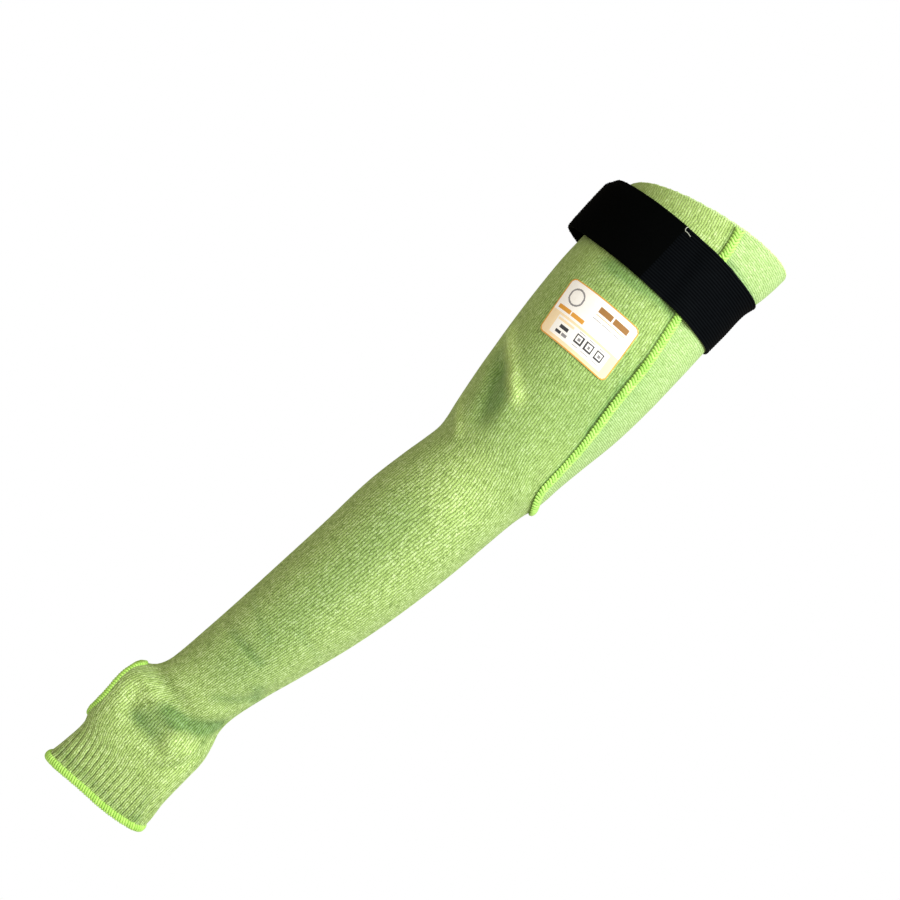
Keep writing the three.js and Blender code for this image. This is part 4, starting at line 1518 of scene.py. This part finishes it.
@dataclass
class Gusset:
    """The knitted panel let into the tube, with its knit turned across."""

    arm: ArmSurface
    columns: int = 56
    row_step: float = 0.0029
    tip_rows: int = 10
    line_pitch: float = 0.00148
    cross_pitch: float = 0.0019

    def build(self) -> Object:
        """Builds the panel from the hem to its round tip."""
        arm = self.arm
        sizes = arm.sizes
        levels = upper_levels(sizes, self.row_step, self.tip_rows)
        front = np.maximum(gusset_meeting(arm, levels, 1) - sizes.gap_turn, 0.0)
        back = np.minimum(gusset_meeting(arm, levels, -1) + sizes.gap_turn, 0.0)
        shares = np.linspace(0.0, 1.0, self.columns + 1)
        turn = back[:, None] + (front - back)[:, None] * shares[None, :]
        z = level_height(levels[:, None, :], turn)
        z[-1] = -sizes.gusset_tip_drop + sizes.gap
        outer = arm.place(z, turn)[0]
        inner = arm.place(z, turn, -sizes.cloth)[0]
        rows = len(levels)
        width = self.columns + 1
        numbers = np.arange(rows * width).reshape(rows, width)
        numbers[-1] = numbers[-1, 0]
        arc = np.radians(turn) * sizes.arm_half_width
        uv = np.stack([-z / self.line_pitch, arc / self.cross_pitch], -1)
        faces, places = knit_faces(numbers, uv, ((0, 0), (0, 1), (1, 1), (1, 0)))
        last = numbers[-1, 0] + 1
        flat_outer = outer.reshape(-1, 3)[:last]
        flat_inner = inner.reshape(-1, 3)[:last]
        shell = wall_shell(flat_outer, flat_inner, faces, places)
        # Painted light and shade for the material: the painted rows and the seam's painted shade.
        hollow = arm.shade(z, turn).ravel()[:last]
        shell.point_values["hollow"] = np.concatenate([hollow, hollow])
        return shell.outward().build("elbow_gusset_panel")

    def finish(self, material: Material) -> Object:
        """Builds and dresses the panel."""
        piece = self.build()
        dress(piece, material)
        hand_over(piece, "gusset_knit", "elbow_gusset")
        return piece


@dataclass
class StitchRow:
    """A row of overlock strands along a path, over a bead or round an edge."""

    name: str
    slot: str
    nodes: tuple[str, ...]
    form: StitchForm
    pitch: float
    half_width: float
    rise: float
    lean: float
    thread_radius: float
    steps: int
    sides: int
    seed: int
    wobble: float = 0.04

    def build(
        self, arm: ArmSurface, z: Array, turn: Array, offset: float, closed: bool, bead: Array | None,
        flip: bool = False,
    ) -> Object:
        """Lays the bead and marks the places of the strands.

        Args:
            arm: the surface.
            z, turn: the path, closely spaced.
            offset: distance of the path out of the cloth's outside.
            closed: whether the path is a ring.
            bead: outline of the bead below the strands, or None.
            flip: whether the strands stand up in the cloth's own plane, as loops along an edge.

        Returns:
            The object, ready for the stitch tree.
        """
        even_z, even_turn = even_path(arm, z, turn, self.pitch, closed)
        spots = path_frames(arm, even_z, even_turn, offset, closed)
        if bead is None:
            shell = Shell(np.zeros((0, 3)), [])
        else:
            coarse = slice(0, None, 2)
            line = path_frames(arm, even_z[coarse], even_turn[coarse], offset, closed)
            shell = swept_shell(line, bead, closed)
        count = len(shell.points)
        places = len(spots.point)
        shell.points = np.vstack([shell.points, spots.point])
        empty = np.zeros((count, 3))
        side, out = spots.side, spots.out
        if flip:
            side = spots.along
            out = np.where(spots.side[:, 2:] > 0, spots.side, -spots.side)
        shell.point_values["side"] = np.vstack([empty, side])
        shell.point_values["out"] = np.vstack([empty, out])
        shell.point_values["is_stitch"] = np.concatenate([np.zeros(count), np.ones(places)])
        return shell.build(self.name)

    def finish(self, piece: Object, tree: NodeTree, material: Material) -> None:
        """Lays the strands and dresses the piece."""
        run_tree(piece, tree, {
            "Half Width": self.half_width, "Rise": self.rise, "Lean": self.lean,
            "Thread Radius": self.thread_radius, "Steps": self.steps, "Sides": self.sides,
            "Seed": self.seed, "Wobble": self.wobble, "Material": material,
        })
        hand_over(piece, self.slot, *self.nodes)


def bead_outline(width: float, thickness: float, foot: float = 0.1) -> Array:
    """A low rounded bead, flat below, that stands on a foot of a share of its thickness."""
    angles = np.linspace(0.0, math.pi, 8)
    arch = np.stack([np.cos(angles) * width / 2, (np.sin(angles) * (1.0 - foot) + foot) * thickness], -1)
    return np.vstack([[-width / 2, 0.0], [width / 2, 0.0], arch])


def binding_outline(width: float, thickness: float, sides: int = 10) -> Array:
    """An oval, centred on the edge that it binds."""
    angles = np.arange(sides) * (2 * math.pi / sides)
    return np.stack([np.cos(angles) * width / 2, np.sin(angles) * thickness / 2], -1)


def seam_path(arm: ArmSurface) -> tuple[Array, Array]:
    """The overlock seam's line: down the gusset's front edge, round its tip and up the back edge."""
    sizes = arm.sizes
    hem = np.array([hem_level(sizes)])
    halves = []
    shoulder = sizes.gusset_tip_radius - sizes.gusset_tip_drop
    for side in (1, -1):
        start = float(level_height(hem, gusset_meeting(arm, hem, side))[0])
        straight = np.linspace(start, shoulder, SEAM_SAMPLES)
        angles = np.linspace(0, math.pi / 2, SEAM_TIP_SAMPLES)[1:]
        rounded = shoulder - sizes.gusset_tip_radius * np.sin(angles)
        z = np.concatenate([straight, rounded])
        halves.append((z, side * arm.gusset_turn(z)))
    z = np.concatenate([halves[0][0], halves[1][0][::-1][1:]])
    return z, np.concatenate([halves[0][1], halves[1][1][::-1][1:]])


def cuff_path(arm: ArmSurface) -> tuple[Array, Array]:
    """The middle of the cuff's binding."""
    turn = np.linspace(0.0, FULL_TURN, CURVE_SAMPLES + 1)
    z = -arm.sizes.length + arm.sizes.cuff_slope * np.cos(np.radians(turn)) + arm.sizes.cuff_binding_width / 2
    return z, turn


def thumb_path(arm: ArmSurface) -> tuple[Array, Array]:
    """The middle of the thumb hole's binding."""
    sizes = arm.sizes
    angle = np.linspace(0.0, 2 * math.pi, CURVE_SAMPLES // 3 + 1)
    z = -sizes.thumb_drop + (sizes.thumb_length + sizes.thumb_binding_width) / 2 * np.sin(angle)
    y = (sizes.thumb_width + sizes.thumb_binding_width) / 2 * np.cos(angle)
    return z, arm.turn_at_depth(z, y)


def hem_path(arm: ArmSurface) -> tuple[Array, Array]:
    """The raw upper edge."""
    turn = np.linspace(0.0, FULL_TURN, CURVE_SAMPLES + 1)
    return hem_level(arm.sizes).height(turn), turn


@dataclass
class Strap:
    """The strap round the upper arm: elastic, plush tape, hook pad and a loose thread at their joint."""

    arm: ArmSurface
    stand_off: float = 0.0099
    stand_off_turn: float = 183.0
    stand_off_spread: float = 32.0
    top_curl: float = 0.0036
    top_curl_share: float = 0.18
    bottom_curl: float = 0.0004
    bridge_share: float = 2.1
    elastic_thickness: float = 0.0018
    plush_thickness: float = 0.0026
    hook_thickness: float = 0.0014
    joint_turn: float = 100.0
    plush_end_turn: float = 262.0
    elastic_end_turn: float = 233.0
    clear_turn: float = 3.0
    ramp_turn: float = 25.0
    column_turn: float = 2.0
    rib_count: float = 24.5
    rib_points: int = 5
    rib_depth: float = 0.00055
    round_edge: float = 0.0011
    edge_thickness: float = 0.3
    edge_rows: tuple[float, ...] = (0.0, 0.12, 0.35, 0.65)
    edge_clearance: float = 1.3
    bottom_curl_share: float = 0.15
    rib_edge: float = 0.0016
    rib_roundness: float = 0.7
    plush_rows: int = 30
    pile_density: float = 520000.0
    tuft_length: float = 0.0005
    tuft_radius: float = 0.00022
    tuft_tilt: float = 0.7
    pile_seed: int = 11
    tail_width: float = 0.00055
    tail_shares: tuple[float, ...] = (0.0, 0.02, 0.055, 0.075, 0.07, 0.075, 0.085)
    tail_turns: tuple[float, ...] = (-0.2, 0.3, 0.1, -0.9, -2.2, -3.6, -5.4)
    tail_lifts: tuple[float, ...] = (0.9, 1.5, 1.6, 1.5, 1.5, 1.4, 1.3)
    tail_depth_share: float = 0.6

    def offset(self, turn: Array, share: Array) -> Array:
        """How far the strap's inner face stands off the cloth, at a turn and a share of its width."""
        sizes = self.arm.sizes
        z = self.arm.strap_height(turn) + (0.5 - share) * sizes.strap_width
        beyond = np.abs(turn_between(turn, 0.0)) - self.arm.gusset_turn(z)
        from_seam = np.radians(beyond) * sizes.arm_half_depth
        bridge_width = self.bridge_share * sizes.seam_width
        bridge = (sizes.seam_thickness + sizes.seam_clearance) * bell((from_seam / bridge_width) ** 2)
        away = bell(turn_between(turn, self.stand_off_turn) / self.stand_off_spread)
        top = self.top_curl * smoothstep((self.top_curl_share - share) / self.top_curl_share)
        from_bottom = share - 1.0 + self.bottom_curl_share
        bottom = self.bottom_curl * smoothstep(from_bottom / self.bottom_curl_share)
        return sizes.gap + bridge + away * (self.stand_off - top - bottom)

    def lift(self, turn: Array) -> Array:
        """How far the elastic's end lies over the plush tape."""
        overlap = self.plush_thickness + self.hook_thickness + 2 * self.arm.sizes.gap
        start = self.plush_end_turn - FULL_TURN + self.clear_turn
        return overlap * (1.0 - smoothstep((turn - start) / self.ramp_turn))

    def ribbon(self, turns: Array, shares: Array, thickness: float, lift: Array) -> Shell:
        """Builds a stretch of strap with rounded edges.

        Args:
            turns: its columns.
            shares: its rows, as shares of the strap's width from the top.
            thickness: its thickness.
            lift: how far each column is lifted.

        Returns:
            The closed shell.
        """
        sizes = self.arm.sizes
        turn = turns[:, None]
        share = shares[None, :]
        z = self.arm.strap_height(turn) + (0.5 - share) * sizes.strap_width
        from_edge = np.minimum(share, 1.0 - share) * sizes.strap_width
        inset = np.clip((self.round_edge - from_edge) / self.round_edge, 0.0, 1.0)
        full = self.edge_thickness + (1.0 - self.edge_thickness) * np.sqrt(1.0 - inset**2)
        base = self.offset(turn, share) + lift[:, None]
        outer = self.arm.place(z, turn, base + thickness * (0.5 + full / 2))[0].reshape(-1, 3)
        inner = self.arm.place(z, turn, base + thickness * (0.5 - full / 2))[0].reshape(-1, 3)
        return wall_shell(outer, inner, grid_faces(len(turns), len(shares)))

    def edge_shares(self, middle: Array) -> Array:
        """Adds rows close to both edges, where they are rounded."""
        near = self.round_edge * np.array(self.edge_rows) / self.arm.sizes.strap_width
        clear = near[-1] * self.edge_clearance
        inside = middle[(middle > clear) & (middle < 1 - clear)]
        return np.concatenate([near, inside, 1 - near[::-1]])

    def columns(self, start: float, end: float) -> Array:
        """Evenly spaced turns."""
        return np.linspace(start, end, max(3, round((end - start) / self.column_turn)) + 1)

    def build_elastic(self, ribs: NodeTree, material: Material) -> None:
        """Builds the elastic, with ribs along its length."""
        sizes = self.arm.sizes
        turns = self.columns(self.elastic_end_turn - FULL_TURN, self.joint_turn + 2 * sizes.gap_turn)
        shares = self.edge_shares(np.linspace(0.0, 1.0, round(self.rib_count * self.rib_points) + 1))
        shell = self.ribbon(turns, shares, self.elastic_thickness, self.lift(turns))
        phase = np.tile(shares * self.rib_count, len(turns))
        edge = smoothstep(np.minimum(shares, 1 - shares) * sizes.strap_width / self.rib_edge)
        strength = np.tile(edge, len(turns))
        shell.point_values["rib_phase"] = np.concatenate([phase, phase])
        shell.point_values["rib_strength"] = np.concatenate([strength, np.zeros_like(strength)])
        piece = shell.outward().build("strap_elastic_band")
        values = {"Depth": self.rib_depth, "Roundness": self.rib_roundness, "Material": material}
        run_tree(piece, ribs, values)
        hand_over(piece, "elastic", "strap_elastic")

    def build_plush(self, pile: NodeTree, material: Material) -> None:
        """Builds the plush tape, covered in short pile."""
        turns = self.columns(self.joint_turn, self.plush_end_turn)
        shares = self.edge_shares(np.linspace(0.0, 1.0, self.plush_rows))
        shell = self.ribbon(turns, shares, self.plush_thickness, np.zeros_like(turns))
        piece = shell.outward().build("strap_plush_tape")
        run_tree(piece, pile, {
            "Density": self.pile_density, "Tuft Length": self.tuft_length, "Tuft Radius": self.tuft_radius,
            "Tilt": self.tuft_tilt, "Seed": self.pile_seed, "Material": material,
        })
        hand_over(piece, "plush", "strap_loop_tape")

    def build_thread_tail(self, material: Material) -> None:
        """Builds the short loose thread at the joint of elastic and plush."""
        share = np.array(self.tail_shares)
        turn = self.joint_turn + np.array(self.tail_turns)
        lift = np.array(self.tail_lifts) / MM_PER_METRE + self.elastic_thickness * self.tail_depth_share
        fine = np.linspace(0, len(share) - 1, TAIL_SAMPLES)
        knots = np.arange(len(share))
        share, turn, lift = (np.interp(fine, knots, values) for values in (share, turn, lift))
        z = self.arm.strap_height(turn) + (0.5 - share) * self.arm.sizes.strap_width
        line = path_frames(self.arm, z, turn, 0.0, False)
        base = self.offset(turn, share) + lift
        line.point = self.arm.place(z, turn, base)[0]
        outline = binding_outline(self.tail_width, self.tail_width)
        piece = swept_shell(line, outline, False).build("strap_thread_tail")
        dress(piece, material)
        hand_over(piece, "seam_thread")


class Ink(Enum):
    """Colours of the label's print."""

    PAPER = linear(250, 250, 248)
    PEACH = linear(247, 225, 185)
    ORANGE = linear(222, 158, 58)
    BROWN = linear(158, 112, 54)
    GREY = linear(138, 138, 142)
    DARK = linear(52, 54, 60)


class Bar(NamedTuple):
    """A printed bar on the label, in millimetres from its middle."""

    left: float
    right: float
    bottom: float
    top: float
    ink: Ink


def square_bars(middle: float) -> tuple[Bar, ...]:
    """A plain square: a dark edge, a paper field with a grey square in it, and a bar above."""
    return (
        Bar(middle - 3.0, middle + 3.0, -13.0, -7.0, Ink.DARK),
        Bar(middle - 2.0, middle + 2.0, -12.0, -8.0, Ink.PAPER),
        Bar(middle - 1.0, middle + 1.0, -11.0, -9.0, Ink.GREY),
        Bar(middle - 2.5, middle + 2.5, -6.0, -5.5, Ink.GREY),
    )


PRINT = (
    Bar(-28.0, 28.0, -20.5, -3.2, Ink.PEACH),
    Bar(-20.5, 21.5, -17.0, -4.6, Ink.PAPER),
    Bar(0.0, 10.0, 11.5, 15.5, Ink.BROWN),
    Bar(11.0, 22.5, 11.5, 15.5, Ink.BROWN),
    Bar(0.0, 22.5, 9.5, 10.0, Ink.ORANGE),
    Bar(-1.0, 5.5, 6.5, 7.0, Ink.GREY),
    Bar(6.5, 14.0, 6.5, 7.0, Ink.GREY),
    Bar(15.0, 20.5, 6.5, 7.0, Ink.GREY),
    Bar(-25.0, -14.5, -1.5, 1.5, Ink.ORANGE),
    Bar(-13.5, -3.5, -1.5, 1.5, Ink.ORANGE),
    Bar(-19.5, -6.5, -7.5, -6.0, Ink.PEACH),
    Bar(-15.5, -9.0, -11.5, -9.0, Ink.DARK),
    Bar(-17.0, -12.5, -15.0, -13.0, Ink.DARK),
    Bar(-11.5, -7.5, -15.0, -13.0, Ink.GREY),
    Bar(-2.5, 2.5, -15.0, -14.5, Ink.GREY),
    Bar(5.0, 11.0, -15.0, -14.5, Ink.GREY),
    Bar(13.5, 18.5, -15.0, -14.5, Ink.GREY),
)
SQUARE_MIDDLES = (0.0, 8.0, 16.0)
RING_MIDDLE = (-17.0, 10.2)
RING_RADIUS = 5.4
RING_WIDTH = 1.2


@dataclass
class Label:
    """The printed label on the front of the upper arm. Its print is plain bars and squares."""

    arm: ArmSurface
    width: float = 0.056
    height: float = 0.0405
    thickness: float = 0.0006
    corner: float = 0.004
    drop: float = 0.1063
    turn: float = 104.0
    tilt: float = 6.0
    border: float = 0.0009
    cell: float = 0.0004

    def inks(self, across: Array, up: Array) -> Array:
        """Ink colours at places on the label, in metres from its middle."""
        colours = np.tile(np.array(Ink.PAPER.value), (len(across), 1))
        x, y = across * MM_PER_METRE, up * MM_PER_METRE
        for bar in PRINT + tuple(bar for middle in SQUARE_MIDDLES for bar in square_bars(middle)):
            inside = (x > bar.left) & (x < bar.right) & (y > bar.bottom) & (y < bar.top)
            colours[inside] = bar.ink.value
        from_ring = np.hypot(x - RING_MIDDLE[0], y - RING_MIDDLE[1]) - RING_RADIUS
        colours[np.abs(from_ring) < RING_WIDTH / 2] = Ink.GREY.value
        beside = np.maximum(np.abs(across) - (self.width / 2 - self.corner), 0.0)
        above = np.maximum(np.abs(up) - (self.height / 2 - self.corner), 0.0)
        colours[np.hypot(beside, above) > self.corner - self.border] = Ink.ORANGE.value
        return colours

    def build(self) -> Object:
        """Builds the label with its print."""
        columns = round(self.width / self.cell)
        heights = np.linspace(0.0, self.height, round(self.height / self.cell) + 1)
        dip = np.minimum(np.minimum(heights, self.height - heights), self.corner)
        half = self.width / 2 - self.corner + np.sqrt(self.corner**2 - (self.corner - dip) ** 2)
        shares = np.linspace(-1.0, 1.0, columns + 1)
        across = half[:, None] * shares[None, :]
        up = np.broadcast_to((self.height / 2 - heights)[:, None], across.shape)
        tilt = math.radians(self.tilt)
        z = -self.drop + up * math.cos(tilt) + across * math.sin(tilt)
        arc = across * math.cos(tilt) - up * math.sin(tilt)
        turn = self.turn - np.degrees(arc / self.arm.sizes.arm_half_depth)
        gap = self.arm.sizes.gap
        outer = self.arm.place(z, turn, gap + self.thickness)[0].reshape(-1, 3)
        inner = self.arm.place(z, turn, gap)[0].reshape(-1, 3)
        faces = grid_faces(len(heights), columns + 1)
        corners = np.array(faces)
        middle_across = across.ravel()[corners].mean(axis=1)
        middle_up = up.ravel()[corners].mean(axis=1)
        inks = self.inks(middle_across, middle_up)
        shell = wall_shell(outer, inner, faces)
        piece = shell.build("printed_label")
        paper = np.tile(np.array(Ink.PAPER.value), (len(piece.data.polygons), 1))
        paper[: len(faces)] = inks
        loops = np.repeat(paper, [len(face.vertices) for face in piece.data.polygons], axis=0)
        layer = piece.data.color_attributes.new("ink", "FLOAT_COLOR", "CORNER")
        layer.data.foreach_set("color", loops.astype(np.float32).ravel())
        return piece

    def finish(self, material: Material) -> None:
        """Builds and dresses the label."""
        piece = self.build()
        dress(piece, material)
        hand_over(piece, "label_cloth", "label_patch")


class Lamp(NamedTuple):
    """A square soft light that is aimed at the sleeve, its size in metres and its power in watts."""

    name: str
    place: tuple[float, float, float]
    size: float
    power: float
    colour: tuple[float, float, float]


LAMPS = (
    Lamp("key", (1.05, -1.15, 0.75), 1.0, 48.0, (0.97, 1.0, 0.99)),
    Lamp("front_fill", (-0.9, -1.7, 0.2), 1.4, 10.0, (1.0, 0.93, 0.84)),
)


@dataclass
class Studio:
    """Camera, lights, a pale floor and the white surroundings."""

    camera_place: tuple[float, float, float] = (-0.0065, -1.15, -0.2255)
    picture_tilt: float = 42.9
    lens: float = 68.3
    target: tuple[float, float, float] = (0.0, 0.0, -0.27)
    floor_height: float = -0.8
    floor_radius: float = 0.36
    floor_thickness: float = 0.004
    floor_sides: int = 96
    floor_grain: float = 30.0
    floor_tones: tuple[float, ...] = (0.3, 0.7, 0.84, 0.88)
    surrounding_light: Colour = (1.0, 0.86, 0.68, 1.0)
    surrounding_strength: float = 0.4

    def camera(self) -> None:
        """Sets the camera at the photograph's viewing angle."""
        data = bpy.data.cameras.new("camera")
        data.lens = self.lens
        data.sensor_width = 36.0
        data.clip_start = 0.05
        camera = bpy.data.objects.new("camera", data)
        tilt = math.radians(self.picture_tilt)
        right = Vector((math.sin(tilt), 0.0, math.cos(tilt)))
        up = Vector((-math.cos(tilt), 0.0, math.sin(tilt)))
        axes = Matrix((right, up, right.cross(up))).transposed().to_4x4()
        camera.matrix_world = Matrix.Translation(self.camera_place) @ axes
        bpy.context.scene.collection.objects.link(camera)
        bpy.context.scene.camera = camera

    def lamp(self, lamp: Lamp) -> None:
        """Adds a light."""
        data = bpy.data.lights.new(lamp.name, "AREA")
        data.shape = "SQUARE"
        data.size = lamp.size
        data.energy = lamp.power
        data.color = lamp.colour
        light = bpy.data.objects.new(lamp.name, data)
        light.location = lamp.place
        aim = Vector(self.target) - Vector(lamp.place)
        light.rotation_euler = aim.to_track_quat("-Z", "Y").to_euler()
        bpy.context.scene.collection.objects.link(light)

    def surroundings(self) -> None:
        """Makes the surroundings white to look at and dim and warm as a light."""
        world = bpy.data.worlds.new("surroundings")
        world.use_nodes = True
        work = NodeWork(world.node_tree)
        world.node_tree.nodes.clear()
        seen = work.add("ShaderNodeLightPath").outputs["Is Camera Ray"]
        soft = work.add(
            "ShaderNodeBackground", {"Color": self.surrounding_light, "Strength": self.surrounding_strength}
        )
        white = work.add("ShaderNodeBackground", {"Color": WHITE, "Strength": 1.0})
        mixed = work.add("ShaderNodeMixShader", {0: seen, 1: soft.outputs[0], 2: white.outputs[0]})
        work.add("ShaderNodeOutputWorld", {0: mixed.outputs[0]})
        bpy.context.scene.world = world

    def floor(self) -> None:
        """Makes a plain pale disc well below the sleeve."""
        angles = np.arange(self.floor_sides) * (2 * math.pi / self.floor_sides)
        rim = np.stack([np.cos(angles), np.sin(angles), np.zeros_like(angles)], -1) * self.floor_radius
        upper = rim + np.array([0.0, 0.0, self.floor_height])
        lower = upper - np.array([0.0, 0.0, self.floor_thickness])
        faces = [tuple(range(self.floor_sides))]
        disc = wall_shell(upper, lower, faces).outward().build("floor", 30.0)
        material, work, shader = Finishes.start("pale_floor")
        place = work.add("ShaderNodeTexCoord").outputs["Object"]
        feeds = {"Vector": place, "Scale": self.floor_grain, "Detail": 3.0}
        tone = work.scale_range(work.add("ShaderNodeTexNoise", feeds).outputs[0], *self.floor_tones)
        work.feed(shader.inputs["Base Color"], work.grey(tone))
        shader.inputs["Roughness"].default_value = 0.9
        dress(disc, material)

    def build(self) -> None:
        """Builds the studio."""
        self.camera()
        for lamp in LAMPS:
            self.lamp(lamp)
        self.surroundings()
        self.floor()
        bpy.context.scene.view_settings.view_transform = "Standard"


@dataclass(frozen=True)
class Binding:
    """A bound edge: an oval core with strands of thread wound round it."""

    name: str
    node: str
    width: float
    thickness: float
    pitch: float
    thread_radius: float
    seed: int
    core: float = 0.86
    side_inset: float = 0.0005
    face_inset: float = 0.0002

    def build(self, arm: ArmSurface, path: tuple[Array, Array], wrap: NodeTree, material: Material) -> None:
        """Lays the core along an edge's path, winds the strands and dresses the piece."""
        row = StitchRow(
            self.name, "edge_thread", (self.node,), StitchForm.LOOP, pitch=self.pitch,
            half_width=self.width / 2 - self.side_inset, rise=self.thickness / 2 - self.face_inset,
            lean=0.0007, thread_radius=self.thread_radius, steps=14, sides=6, seed=self.seed,
        )
        core = binding_outline(self.width * self.core, self.thickness * self.core)
        row.finish(row.build(arm, *path, -arm.sizes.cloth / 2, True, core), wrap, material)


def build_hem(arm: ArmSurface, finishes: Finishes) -> Object:
    """Builds the small loops of the raw hem."""
    loops = StitchRow(
        "hem_raw_loops", "knit", (), StitchForm.ARCH, pitch=0.0018, half_width=0.00085, rise=0.0009, lean=0.0,
        thread_radius=0.00042, steps=5, sides=5, seed=2, wobble=0.18,
    )
    piece = loops.build(arm, *hem_path(arm), -arm.sizes.cloth / 2, True, None, flip=True)
    yarn = finishes.thread(ThreadFinish("raw_edge_yarn", KNIT.middle, KNIT.light))
    loops.finish(piece, stitch_tree(StitchForm.ARCH), yarn)
    return piece


def build_seam(arm: ArmSurface, finishes: Finishes, bead_share: float = 0.9) -> None:
    """Builds the overlock seam: chevrons of thread over a bead of a share of their size."""
    sizes = arm.sizes
    seam = StitchRow(
        "gusset_overlock_seam", "seam_thread", ("gusset_seam",), StitchForm.CHEVRON, pitch=0.0023,
        half_width=sizes.seam_width / 2, rise=sizes.seam_thickness, lean=0.0024, thread_radius=0.001,
        steps=8, sides=6, seed=4,
    )
    bead = bead_outline(sizes.seam_width * bead_share, sizes.seam_thickness * bead_share)
    piece = seam.build(arm, *seam_path(arm), sizes.seam_clearance * 0.5, False, bead)
    seam.finish(piece, stitch_tree(StitchForm.CHEVRON), finishes.thread(SEAM_THREAD))


def build_bindings(arm: ArmSurface, material: Material) -> None:
    """Builds the bound edges of the cuff and of the thumb hole."""
    sizes = arm.sizes
    wrap = stitch_tree(StitchForm.LOOP)
    Binding(
        "cuff_edge_binding", "cuff_binding", sizes.cuff_binding_width, sizes.cuff_binding_thickness,
        pitch=0.0019, thread_radius=0.00092, seed=5,
    ).build(arm, cuff_path(arm), wrap, material)
    Binding(
        "thumb_edge_binding", "thumb_binding", sizes.thumb_binding_width, sizes.thumb_binding_thickness,
        pitch=0.0018, thread_radius=0.00088, seed=6,
    ).build(arm, thumb_path(arm), wrap, material)


def build_strap(arm: ArmSurface, finishes: Finishes, ribs: NodeTree) -> None:
    """Builds the strap and gives the source's hook pad its finish."""
    strap = Strap(arm)
    strap.build_elastic(ribs, finishes.webbing(ELASTIC))
    strap.build_plush(pile_tree(), finishes.webbing(PLUSH))
    strap.build_thread_tail(finishes.webbing(TAIL))
    dress(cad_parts["strap_hook_pad"], finishes.webbing(HOOK))


def main() -> None:
    """Builds the studio and every piece in order."""
    logging.basicConfig(level=logging.INFO, format="%(name)s: %(message)s")
    sizes = SleeveSizes()
    arm = ArmSurface(sizes, MAIN_FOLDS + FINE_FOLDS)
    plain_arm = ArmSurface(sizes, MAIN_FOLDS)
    finishes = Finishes()
    Studio().build()
    ribs = rib_tree()
    tube = KnitTube(arm).finish(ribs, finishes.knit(KNIT))
    gusset = Gusset(arm).finish(finishes.knit(GUSSET_KNIT))
    hem = build_hem(arm, finishes)
    edge_thread = finishes.thread(EDGE_THREAD)
    build_seam(plain_arm, finishes)
    build_bindings(arm, edge_thread)
    build_strap(plain_arm, finishes, ribs)
    Label(arm).finish(finishes.label(LABEL))


if __name__ == "__main__":
    main()
